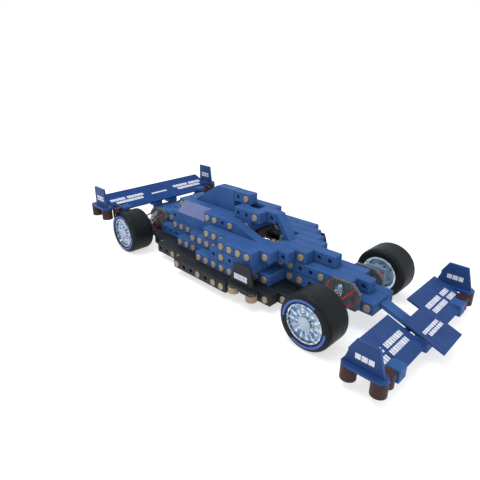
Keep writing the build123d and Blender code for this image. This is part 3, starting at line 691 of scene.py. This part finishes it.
def joined(name: str, parts: Sequence[Object]) -> Object:
    """Joins several pieces into one mesh.

    Args:
        name: The name of the whole.
        parts: The pieces.

    Returns:
        The whole.
    """
    whole = parts[0]
    pick(whole)
    for part in parts:
        part.select_set(True)
    bpy.ops.object.join()
    whole.name = whole.data.name = name
    return whole


def moved(obj: Object, matrix: Matrix) -> Object:
    """Moves a piece's mesh by a matrix, and turns its faces outwards again if the matrix mirrors it.

    Args:
        obj: The piece.
        matrix: The matrix.

    Returns:
        The piece.
    """
    obj.data.transform(matrix)
    if matrix.determinant() < 0:
        outward(obj)
    return obj


def flat_frame(origin: Sequence[float], along: Point, across: Point, out: Point) -> Matrix:
    """Gives the frame of a flat face by its origin and the directions of its X, Y and Z."""
    axes = Matrix((along, across, out)).transposed().to_4x4()
    return Matrix.Translation(origin) @ axes


def middle_of(node: str) -> Vector:
    """Gives the middle of a CAD node's box."""
    low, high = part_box(node)
    return (low + high) / 2


# ----- What the sub-assemblies share -----


@dataclass(frozen=True)
class Winding:
    """A wire or a thread wound about the Z axis. Its half thicknesses are out and along."""

    radius: float
    out: float
    along: float
    turns: int
    rise: float
    sides: int = 8
    steps: int = 18

    def make(self, name: str) -> Object:
        """Winds it, from Z = 0 up.

        Args:
            name: The piece's name.

        Returns:
            The closed winding.
        """
        bpy.ops.mesh.primitive_circle_add(vertices=self.sides, radius=1, rotation=(math.pi / 2, 0, 0))
        piece = settled(name)
        section = Matrix.Diagonal((self.out, 1, self.along, 1))
        piece.data.transform(Matrix.Translation((self.radius, 0, 0)) @ section)
        applied(
            piece, "SCREW", axis="Z", angle=2 * math.pi, screw_offset=self.rise, iterations=self.turns,
            steps=self.steps, render_steps=self.steps,
        )
        return smooth(closed(piece, bpy.ops.mesh.fill_holes, sides=self.sides), 50.0)


@dataclass(frozen=True)
class Shaft:
    """A round shaft along the car at y and z, with a winding about it from wound on."""

    y: float
    z: float
    rear: float
    front: float
    radius: float
    sides: int
    wound: float
    winding: Winding

    def bar(self, name: str) -> Object:
        """Makes the bare shaft."""
        middle = ((self.rear + self.front) / 2, self.y, self.z)
        return bevelled(drum(name, middle, self.radius, self.front - self.rear, Axis.X, self.sides), 0.2 * MM)

    def coil(self, name: str) -> Object:
        """Makes the winding about it."""
        lengthwise = Matrix.Rotation(math.pi / 2, 4, "Y")
        return moved(self.winding.make(name), Matrix.Translation((self.wound, self.y, self.z)) @ lengthwise)


@dataclass(frozen=True)
class Corner:
    """One of the car's four corners, where a wheel is."""

    end: End
    side: Side

    @property
    def name(self) -> str:
        """The corner's name, as nodes and bodies have it."""
        return f"{self.end.name}_{self.side.name}".lower()

    @property
    def out(self) -> int:
        """The sign of Y outwards."""
        return self.side.value

    def face(self, part: str, way: int = 1) -> float:
        """Where a part's outer face lies across the car, or its inner one if way is -1."""
        low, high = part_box(f"{part}_{self.name}")
        return high.y if self.out * way > 0 else low.y

    def on_circle(self, radius: float, angle: float, y: float) -> Point:
        """Gives a point on a circle about the axle, at a place across the car."""
        centre = middle_of(f"tyre_{self.name}")
        return (centre.x + radius * math.cos(angle), y, centre.z + radius * math.sin(angle))


CORNERS = tuple(Corner(end, side) for end in End for side in Side)


@dataclass(frozen=True)
class Fasteners:
    """Small six-sided heads on a circle about an axle. The first lies a share of a step round it."""

    count: int
    circle: float
    radius: float
    depth: float
    border: float
    rise: float
    first: float = 0.0

    def ring(self, name: str, corner: Corner, y: float, look: int) -> Object:
        """Makes the ring.

        Args:
            name: The name of the whole.
            corner: The corner of the car.
            y: Where the heads' middles lie across the car.
            look: The sign of Y that their raised faces look to.

        Returns:
            The ring as one piece.
        """
        heads = []
        for index in range(self.count):
            angle = 2 * math.pi * (index + self.first) / self.count
            head = drum("head", corner.on_circle(self.circle, angle, y), self.radius, self.depth, Axis.Y, 6)
            inset(head, facing(Axis.Y, look), (self.border, self.rise), each=False)
            heads.append(head)
        return joined(name, heads)


@dataclass(frozen=True)
class BarRow:
    """A row of plain painted bars on a flat plate: its ends along it and its middle line, in millimetres."""

    start: float
    end: float
    across: float
    height: float

    def bars(self, lengths: Sequence[float], gap: float) -> list[tuple[float, float]]:
        """Fills the row with bars of a few lengths in turn.

        Args:
            lengths: The lengths that are used in turn.
            gap: The gap between two bars.

        Returns:
            Each bar's middle and length.
        """
        found = []
        place = self.start
        while self.end - place > min(lengths):
            length = min(lengths[len(found) % len(lengths)], self.end - place)
            found.append((place + length / 2, length))
            place += length + gap
        return found


Rows = tuple[BarRow, ...]


@dataclass
class Assembly:
    """What every sub-assembly has: the finishes by name, and how a piece is dressed and mounted."""

    finishes: dict[str, Material]

    def dress(self, finish: str, *nodes: str) -> None:
        """Gives CAD nodes a finish.

        Args:
            finish: The finish's name.
            nodes: The nodes' names.
        """
        for node in nodes:
            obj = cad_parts[node]
            if not obj.material_slots:
                obj.data.materials.append(None)
            for slot in obj.material_slots:
                slot.link = "OBJECT"
                slot.material = self.finishes[finish]
            log.info("dressed %s in %s", node, finish)

    def mount(self, obj: Object, finish: str, slot: str, body: str = "chassis") -> None:
        """Gives a new piece its finish and the body it rides on.

        Args:
            obj: The piece.
            finish: The finish's name.
            slot: Not used.
            body: The CAD body's name.
        """
        obj.data.materials.clear()
        obj.data.materials.append(self.finishes[finish])
        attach(obj, body)
        log.info("made %s on %s", obj.name, body)

    def rows(
        self, name: str, rows: Rows, matrix: Matrix, lengths: Sequence[float], gap: float = 0.7
    ) -> None:
        """Makes rows of thin painted bars in a flat frame and lays them on a plate.

        Args:
            name: The piece's name.
            rows: The rows.
            matrix: The frame: X along the rows, Y across them, Z out of the plate.
            lengths: The bars' lengths in millimetres, used in turn.
            gap: The gap between two bars, in millimetres.
        """
        proud, sunk = 0.08 * MM, 0.04 * MM
        parts = []
        for row in rows:
            for middle, length in row.bars(lengths, gap):
                place = (middle * MM, row.across * MM, (proud - sunk) / 2)
                parts.append(block("bar", place, (length * MM, row.height * MM, proud + sunk)))
        whole = joined(name, parts)
        inset(whole, facing(Axis.Z, 1), (0.1 * MM, 0.02 * MM))
        self.mount(moved(whole, matrix), "mark_paint", "wing_plastic")


# ----- The sub-assemblies -----


@dataclass
class Bodywork(Assembly):
    """The stacked beams, the pegs and the plates of the body."""

    blue: tuple[str, ...] = (
        "keel_beams", "sidepod_beams", "middle_beams", "upper_beams", "shoulder_beams", "roll_hoop_beams",
        "fin_plate", "side_panels", "cockpit_fairings", "halo_strut", "rear_wing_pylons", "nose_rod",
        "nose_blocks", "front_wing_blocks", "rear_wing_blocks",
    )
    barge_face: float = 64.7 * MM
    label_lengths: tuple[float, ...] = (1.5, 2.3, 1.8)
    label_gap: float = 0.45
    label_rows: Rows = (BarRow(23.2, 41.4, 33.2, 2.8), BarRow(23.2, 41.4, 29.9, 3.2))

    def build(self) -> None:
        """Dresses the body and adds its small pieces."""
        self.dress("beam_blue", *self.blue)
        self.dress("floor_charcoal", "floor_beams", "floor_ramps", "barge_boards")
        self.dress("peg_tan", "pegs_left", "pegs_right", "floor_studs")
        self.dress("panel_lavender", "slanted_panels")
        self.labels()

    def labels(self) -> None:
        """Lays rows of plain pale bars on the barge boards."""
        for side in Side:
            sign = side.value
            matrix = flat_frame((0, sign * self.barge_face, 0), (1, 0, 0), (0, 0, 1), (0, sign, 0))
            name = f"barge_label_{side.name.lower()}"
            self.rows(name, self.label_rows, matrix, self.label_lengths, self.label_gap)


@dataclass
class Wheel(Assembly):
    """A tyre, its rim and its cap, with the blue arcs, the nuts, and the rim's blades and liner."""

    corner: Corner
    arc_radius: float = 21.7 * MM
    arc_width: float = 2.3 * MM
    arc_thick: float = 0.16 * MM
    arc_sunk: float = 0.02 * MM
    arc_turn: float = math.radians(118.0)
    arc_starts: tuple[float, float] = (math.radians(62.0), math.radians(240.0))
    nuts: Fasteners = Fasteners(7, 8.6 * MM, 0.95 * MM, 1.6 * MM, 0.25 * MM, 0.15 * MM)
    nut_set_back: float = 1.3 * MM
    liner_lip: float = 18.7 * MM
    liner_proud: float = 0.2 * MM
    liner_mouth: float = 17.0 * MM
    liner_foot: float = 15.9 * MM
    liner_depth: float = 5.6 * MM
    fan_radius: float = 16.6 * MM
    fan_eye: float = 6.3 * MM
    fan_thick: float = 0.8 * MM
    fan_set_back: float = 2.7 * MM
    fan_blades: int = 28
    blade_border: float = 0.22 * MM
    blade_rise: float = 0.45 * MM

    def build(self) -> None:
        """Dresses the wheel and adds what is on it."""
        name = self.corner.name
        self.dress("tyre_rubber", f"tyre_{name}")
        self.dress("rim_chrome", f"rim_{name}")
        self.dress("cap_metal", f"wheel_cap_{name}")
        self.arcs()
        y = self.corner.face("wheel_cap") - self.corner.out * self.nut_set_back
        self.fit(self.nuts.ring(f"wheel_nuts_{name}", self.corner, y, self.corner.out), "spring_chrome")
        self.liner()
        self.fan()

    def fit(self, obj: Object, finish: str, slot: str = "rim_chrome") -> None:
        """Mounts a piece on the wheel."""
        self.mount(obj, finish, slot, f"wheel_{self.corner.name}")

    def arcs(self) -> None:
        """Adds the two opposed arcs on the tyre's outer wall."""
        y = self.corner.face("tyre") + self.corner.out * (self.arc_thick / 2 - self.arc_sunk)
        for index, start in enumerate(self.arc_starts):
            place = self.corner.on_circle(self.arc_radius, start, y)
            size = (self.arc_width, self.arc_thick, 0.02 * MM)
            arc = block(f"tyre_arc_{self.corner.name}_{index + 1}", place, size, (0, -start, 0))
            onward = Vector((-math.sin(start), 0, math.cos(start)))
            choose_faces(arc, lambda face: onward.dot(face.normal) > STRAIGHT)
            centre = self.corner.on_circle(0.0, 0.0, 0.0)
            bpy.ops.mesh.spin(steps=30, angle=self.arc_turn, center=centre, axis=(0, 1, 0))
            mode("OBJECT")
            self.fit(smooth(bevelled(outward(arc), 0.05 * MM)), "arc_paint", "tyre_rubber")

    def fan(self) -> None:
        """Adds the ring of bright blades that fills the gaps between the rim's spokes; their chrome has painted
        blue reflections and a faint painted glow.
        """
        out = self.corner.out
        y = self.corner.face("tyre") - out * (self.fan_set_back + self.fan_thick / 2)
        middle = self.corner.on_circle(0.0, 0.0, y)
        name = f"rim_fan_{self.corner.name}"
        ring = drum(name, middle, self.fan_radius, self.fan_thick, Axis.Y, self.fan_blades)
        inset(ring, facing(Axis.Y), (self.fan_radius - self.fan_eye, 0.0), cut=True)
        closed(ring, bpy.ops.mesh.bridge_edge_loops)
        inset(ring, facing(Axis.Y, out), (self.blade_border, self.blade_rise))
        self.fit(bevelled(outward(ring), 0.06 * MM, 1), "fan_chrome")

    def liner(self) -> None:
        """Adds the ring inside the rim, on the side of the brake disc; its pale glowing finish is a painted
        reflection.
        """
        out = self.corner.out
        mouth = self.corner.face("rim", -1) - out * self.liner_proud
        middle = self.corner.on_circle(0.0, 0.0, mouth + out * self.liner_depth / 2)
        ring = drum(f"rim_liner_{self.corner.name}", middle, self.liner_lip, self.liner_depth, Axis.Y, 48)
        for look, radius in ((out, self.liner_foot), (-out, self.liner_mouth)):
            inset(ring, facing(Axis.Y, look), (self.liner_lip - radius, 0.0), each=False, cut=True)
        self.fit(smooth(bevelled(closed(ring, bpy.ops.mesh.bridge_edge_loops), 0.15 * MM)), "liner_metal")


@dataclass
class Suspension(Assembly):
    """Plates, ribbed rods, hub carriers, brake discs and wound springs."""

    top_height: float = 14.0 * MM
    foot_height: float = 2.0 * MM
    coil_radius: float = 3.6 * MM
    wire: float = 0.6 * MM
    turns: int = 6
    shaft_radius: float = 1.3 * MM
    sleeve_radius: float = 2.3 * MM
    sleeve_share: float = 0.45
    seat_radius: float = 4.1 * MM
    seat_thick: float = 1.0 * MM
    eye_radius: float = 2.1 * MM
    eye_width: float = 4.6 * MM
    eye_gap: float = 1.9 * MM
    edge: float = 0.2 * MM
    bolts: Fasteners = Fasteners(6, 11.0 * MM, 1.0 * MM, 1.0 * MM, 0.3 * MM, 0.12 * MM, 0.5)
    bolt_proud: float = 0.3 * MM

    def build(self) -> None:
        """Dresses the suspension, winds its springs and bolts its discs."""
        self.dress("plate_grey", "suspension_plates")
        self.dress("rod_red", "front_suspension_rods", "rear_suspension_rods")
        self.dress("disc_metal", "front_hub_carriers", "rear_hub_carriers")
        self.dress("dull_metal", "knuckle_front_left", "knuckle_front_right")
        self.dress("brake_metal", "brake_disc_front_left", "brake_disc_front_right", "rear_brake_discs")
        self.springs()
        self.disc_bolts()

    def coil(self, length: float) -> Object:
        """Winds one spring about the Z axis.

        Args:
            length: From the middle of one eye of its damper to the middle of the other.

        Returns:
            The spring, with the damper's first eye at the origin.
        """
        start = self.eye_radius + self.seat_thick + self.wire
        rise = (length - 2 * start) / self.turns
        coil = Winding(self.coil_radius, self.wire, self.wire, self.turns, rise).make("coil")
        return moved(coil, Matrix.Translation((0, 0, start)))

    def damper(self, length: float) -> Object:
        """Makes the damper inside a spring, about the Z axis.

        Args:
            length: From the middle of one eye to the middle of the other.

        Returns:
            The damper, with its first eye at the origin.
        """
        low = self.eye_radius + self.seat_thick / 2
        sleeve = length * self.sleeve_share
        parts = [drum("shaft", (0, 0, length / 2), self.shaft_radius, length, Axis.Z, 16)]
        for z, radius, depth, axis, sides in (
            (low + sleeve / 2, self.sleeve_radius, sleeve, Axis.Z, 20),
            (low, self.seat_radius, self.seat_thick, Axis.Z, 24),
            (length - low, self.seat_radius, self.seat_thick, Axis.Z, 24),
            (0, self.eye_radius, self.eye_width, Axis.X, 18),
            (length, self.eye_radius, self.eye_width, Axis.X, 18),
        ):
            parts.append(bevelled(drum("part", (0, 0, z), radius, depth, axis, sides), self.edge))
        return joined("damper", parts)

    def springs(self) -> None:
        """Makes four wound springs with their dampers, between the plates and the hub carriers."""
        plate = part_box("suspension_plates")[1].y + self.eye_gap
        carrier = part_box("spring_struts")[1].y - self.eye_gap
        for name, maker, finish in (
            ("wound_springs", self.coil, "spring_chrome"),
            ("spring_dampers", self.damper, "pale_steel"),
        ):
            made = []
            for corner in CORNERS:
                axle = middle_of(f"tyre_{corner.end.name.lower()}_left")
                top = Vector((axle.x, plate, axle.z + self.top_height))
                path = Vector((axle.x, carrier, axle.z + self.foot_height)) - top
                turn = path.to_track_quat("Z", "X").to_matrix().to_4x4()
                mirror = Matrix.Diagonal((1, corner.out, 1, 1))
                made.append(moved(maker(path.length), mirror @ Matrix.Translation(top) @ turn))
            whole = smooth(joined(name, made))
            self.mount(whole, finish, "spring_chrome")
            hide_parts("spring_struts")

    def disc_bolts(self) -> None:
        """Adds a ring of bolt heads on every brake disc."""
        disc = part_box("brake_disc_front_left")[0].y - self.bolt_proud
        for corner in CORNERS:
            body = f"steering_knuckle_{corner.name}" if corner.end is End.FRONT else "chassis"
            ring = self.bolts.ring(f"disc_bolts_{corner.name}", corner, corner.out * disc, -corner.out)
            self.mount(ring, "dull_metal", "disc_metal", body)


@dataclass
class Cockpit(Assembly):
    """The seat, the console and the small gear train that shows in the cockpit."""

    bearing_rear: float = 29.0 * MM
    bearing_thick: float = 3.6 * MM
    bearing_foot: float = 37.3 * MM
    bearings: tuple[tuple[str, float, float, float], ...] = (
        # name, right side, left side, head
        ("worm", -1.0 * MM, 12.0 * MM, 58.0 * MM),
        ("shaft", -11.0 * MM, -1.4 * MM, 53.4 * MM),
    )
    bearing_edge: float = 0.5 * MM
    worm: Shaft = Shaft(
        y=6.0 * MM, z=56.2 * MM, rear=8.2 * MM, front=29.0 * MM, radius=2.2 * MM, sides=20,
        wound=9.0 * MM, winding=Winding(3.05 * MM, 0.85 * MM, 0.55 * MM, 8, 2.4 * MM),
    )
    link: Shaft = Shaft(
        y=-6.0 * MM, z=50.5 * MM, rear=9.0 * MM, front=29.0 * MM, radius=1.5 * MM, sides=16,
        wound=11.0 * MM, winding=Winding(2.7 * MM, 0.6 * MM, 0.6 * MM, 6, 1.6 * MM),
    )
    bush_place: float = 25.4 * MM
    bush_radius: float = 3.5 * MM
    bush_length: float = 5.4 * MM
    gears: tuple[tuple[str, Point], ...] = (
        ("rear", (9.0 * MM, 14.0 * MM, 55.5 * MM)),
        ("front", (20.0 * MM, 14.2 * MM, 55.0 * MM)),
    )
    gear_radius: float = 4.2 * MM
    gear_thick: float = 3.4 * MM
    gear_teeth: int = 12
    axle_radius: float = 1.5 * MM
    wall: float = 19.0 * MM

    def build(self) -> None:
        """Dresses the cockpit and fills it."""
        self.dress("seat_brown", "seat")
        self.dress("dull_metal", "cockpit_console")
        self.bearing()
        self.mount(smooth(self.worm.bar("cockpit_worm_core")), "pale_steel", "dull_metal")
        self.mount(self.worm.coil("cockpit_worm_thread"), "worm_black", "dull_metal")
        self.gear_pair()
        self.linkage()

    def bearing(self) -> None:
        """Adds the two upright plates that carry the front ends of the shafts."""
        edge = self.bearing_edge
        for name, low, high, head in self.bearings:
            x = self.bearing_rear + self.bearing_thick / 2
            middle = (x, (low + high) / 2, (self.bearing_foot + head) / 2)
            size = (self.bearing_thick, high - low, head - self.bearing_foot)
            plate = block(f"cockpit_bearing_{name}", middle, size)
            inset(plate, facing(Axis.X), (3 * edge, 0.0), (edge / 2, -edge / 2))
            self.mount(smooth(bevelled(plate, edge)), "pale_steel", "dull_metal")

    def gear(self, name: str, middle: Point) -> Object:
        """Makes a toothed wheel with sunk faces.

        Args:
            name: Its name.
            middle: Its middle.

        Returns:
            The wheel.
        """
        radius, thick = self.gear_radius, self.gear_thick
        wheel = drum(name, middle, radius, thick, Axis.Y, 2 * self.gear_teeth)
        feet = {face.index for face in wheel.data.polygons if not facing(Axis.Y)(face) and face.index % 2 == 0}
        inset(wheel, lambda face: face.index in feet, (0.06 * radius / self.gear_teeth, 0.22 * radius))
        inset(wheel, facing(Axis.Y), (0.18 * radius, 0.0), (0.08 * radius, -0.2 * thick))
        return bevelled(outward(wheel), 0.12 * MM, 1)

    def gear_pair(self) -> None:
        """Adds two toothed wheels on short axles beside the threaded shaft."""
        for end, place in self.gears:
            x, y, z = place
            name = f"cockpit_gear_{end}"
            wheel = self.gear(name, place)
            inner = y - self.gear_thick
            middle = (x, (inner + self.wall) / 2, z)
            axle = drum("axle", middle, self.axle_radius, self.wall - inner, Axis.Y, 16)
            whole = joined(name, [wheel, bevelled(axle, 0.2 * MM)])
            self.mount(smooth(whole), "gear_olive", "dull_metal")

    def linkage(self) -> None:
        """Adds the bright shaft with its spring and its round bush."""
        whole = joined("cockpit_linkage", [self.link.bar("rod"), self.link.coil("coil")])
        self.mount(smooth(whole), "spring_chrome", "spring_chrome")
        middle = (self.bush_place, self.link.y, self.link.z)
        bush = drum("cockpit_bush", middle, self.bush_radius, self.bush_length, Axis.X, 20)
        self.mount(smooth(bevelled(bush, 1.1 * MM, 3)), "peg_tan", "peg_plastic")


@dataclass
class Wings(Assembly):
    """Both wings: plates, endplates, bases, rollers and their plain painted bars."""

    tilt: float = math.radians(20.3)
    plate_thick: float = 1.8 * MM
    endplate_thick: float = 2.4 * MM
    lengths: tuple[float, ...] = (1.9, 2.6, 3.4, 2.2)
    bold_lengths: tuple[float, ...] = (4.6, 5.0)
    front_rows: Rows = (
        BarRow(26.5, 56.0, 17.6, 4.9),
        BarRow(59.0, 75.0, 17.6, 4.9),
        BarRow(28.0, 58.0, 24.4, 4.9),
        BarRow(61.0, 76.0, 24.4, 4.9),
    )
    front_centre_rows: Rows = (BarRow(-14.5, 14.3, 17.0, 3.2), BarRow(-10.7, 14.6, 21.2, 3.2))
    front_end_rows: Rows = (BarRow(177.8, 194.4, 32.0, 4.8),)
    rear_rows: Rows = (
        BarRow(26.0, 52.0, 17.2, 5.0),
        BarRow(54.5, 76.0, 17.2, 5.0),
        BarRow(30.0, 72.0, 24.0, 4.8),
    )
    rear_centre_rows: Rows = (BarRow(-14.0, 12.0, 21.4, 3.0),)
    rear_end_rows: Rows = (BarRow(-206.0, -188.4, 71.6, 2.6), BarRow(-206.0, -188.4, 68.2, 2.6))

    def build(self) -> None:
        """Dresses both wings and adds the painted bars."""
        wings = (
            ("front_wing", "wing_blue", self.front_rows, self.front_centre_rows, self.front_end_rows),
            ("rear_wing", "wing_blue_rear", self.rear_rows, self.rear_centre_rows, self.rear_end_rows),
        )
        for wing, blue, rows, _, _ in wings:
            self.dress(blue, f"{wing}_panels", f"{wing}_centre_plate", f"{wing}_spar")
            self.dress("endplate_blue", f"{wing}_endplates", f"{wing}_bases")
            self.dress("roller_brown", f"{wing}_rollers")
            for side in Side:
                matrix = Matrix.Diagonal((1, side.value, 1, 1)) @ self.on_plate(f"{wing}_panels")
                self.rows(f"{wing}_bars_{side.name.lower()}", rows, matrix, self.lengths)
        for wing, _, _, rows, _ in wings:
            self.rows(f"{wing}_bars_middle", rows, self.on_plate(f"{wing}_centre_plate"), self.lengths)
        for wing, _, _, _, rows in wings:
            self.endplate_bars(wing, rows)

    def on_plate(self, node: str) -> Matrix:
        """Gives the frame of a tilted plate's upper face.

        Args:
            node: The plate's node.

        Returns:
            The frame: X runs across the car, Y down the slope, from the plate's back edge.
        """
        low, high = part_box(node)
        rise, run = math.sin(self.tilt), math.cos(self.tilt)
        return flat_frame((low.x + self.plate_thick * rise, 0, high.z), (0, 1, 0), (run, 0, -rise), (rise, 0, run))

    def endplate_bars(self, wing: str, rows: Rows) -> None:
        """Adds the bars on both faces of both endplates of a wing.

        Args:
            wing: The wing's name.
            rows: The rows of bars, along X and up Z.
        """
        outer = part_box(f"{wing}_endplates")[1].y
        for side in Side:
            for face, y, look in (("outer", outer, 1), ("inner", outer - self.endplate_thick, -1)):
                out = (0, side.value * look, 0)
                matrix = flat_frame((0, side.value * y, 0), (1, 0, 0), (0, 0, 1), out)
                name = f"{wing.replace('wing', 'end')}_bars_{side.name.lower()}_{face}"
                self.rows(name, rows, matrix, self.bold_lengths)


@dataclass(frozen=True)
class Lamp:
    """A soft square light that looks at the car, with its power in watts."""

    name: str
    place: Point
    size: float
    power: float
    colour: Colour
    aim: Point = (0, 0, 30 * MM)

    def build(self) -> None:
        """Sets up the light."""
        data = bpy.data.lights.new(self.name, "AREA")
        data.size = self.size
        data.energy = self.power
        data.color = self.colour
        lamp = bpy.data.objects.new(self.name, data)
        bpy.context.scene.collection.objects.link(lamp)
        lamp.location = self.place
        lamp.rotation_euler = (Vector(self.aim) - Vector(self.place)).to_track_quat("-Z", "Y").to_euler()


@dataclass
class Studio:
    """The pale floor, the soft lights and the camera."""

    lamps: tuple[Lamp, ...] = (
        Lamp("key_light", (-0.15, -0.35, 1.5), 0.8, 12.5, (0.94, 0.98, 1.0)),
        Lamp("front_light", (1.5, -0.15, 0.55), 0.7, 3.6, (0.92, 0.86, 0.86)),
    )
    floor_size: float = 60.0
    floor_drop: float = 0.2 * MM
    paper: FloorPaper = FloorPaper("floor_paper", (0.5, 0.5, 0.5), 0.62)
    camera_place: Point = (0.29423, -0.32722, 0.23096)
    camera_turn: Point = (66.94, 0.0, 45.0)
    camera_angle: float = 60.0
    camera_near: float = 10 * MM
    sky: Colour = (1.0, 1.0, 1.0)
    sky_strength: float = 1.0

    def build(self) -> None:
        """Sets up the floor, lights and camera."""
        self.floor()
        for lamp in self.lamps:
            lamp.build()
        self.world()
        self.camera()

    def floor(self) -> None:
        """Lays the plain pale floor under the car."""
        bpy.ops.mesh.primitive_plane_add(size=self.floor_size, location=(0, 0, -self.floor_drop))
        floor = settled("floor_sheet")
        floor.data.materials.append(self.paper.make())

    def world(self) -> None:
        """Makes an even pale sky."""
        world = bpy.data.worlds.new("pale_sky")
        world.use_nodes = True
        back = world.node_tree.nodes["Background"]
        back.inputs["Color"].default_value = (*self.sky, 1.0)
        back.inputs["Strength"].default_value = self.sky_strength
        bpy.context.scene.world = world
        bpy.context.scene.view_settings.view_transform = "Standard"

    def camera(self) -> None:
        """Sets up the camera in front of the car, to its right and above it."""
        data = bpy.data.cameras.new("studio_camera")
        data.sensor_fit = "HORIZONTAL"
        data.angle = math.radians(self.camera_angle)
        data.clip_start = self.camera_near
        camera = bpy.data.objects.new("studio_camera", data)
        bpy.context.scene.collection.objects.link(camera)
        camera.location = self.camera_place
        camera.rotation_euler = tuple(math.radians(v) for v in self.camera_turn)
        bpy.context.scene.camera = camera


def main() -> None:
    """Builds every sub-assembly in order."""
    logging.basicConfig(level=logging.INFO, format="%(message)s")
    finishes = {finish.name: finish.make() for finish in FINISHES}
    wheels = [Wheel(finishes, corner) for corner in CORNERS]
    for assembly in (Bodywork(finishes), *wheels, Suspension(finishes), Cockpit(finishes), Wings(finishes)):
        assembly.build()
    Studio().build()


if __name__ == "__main__":
    main()
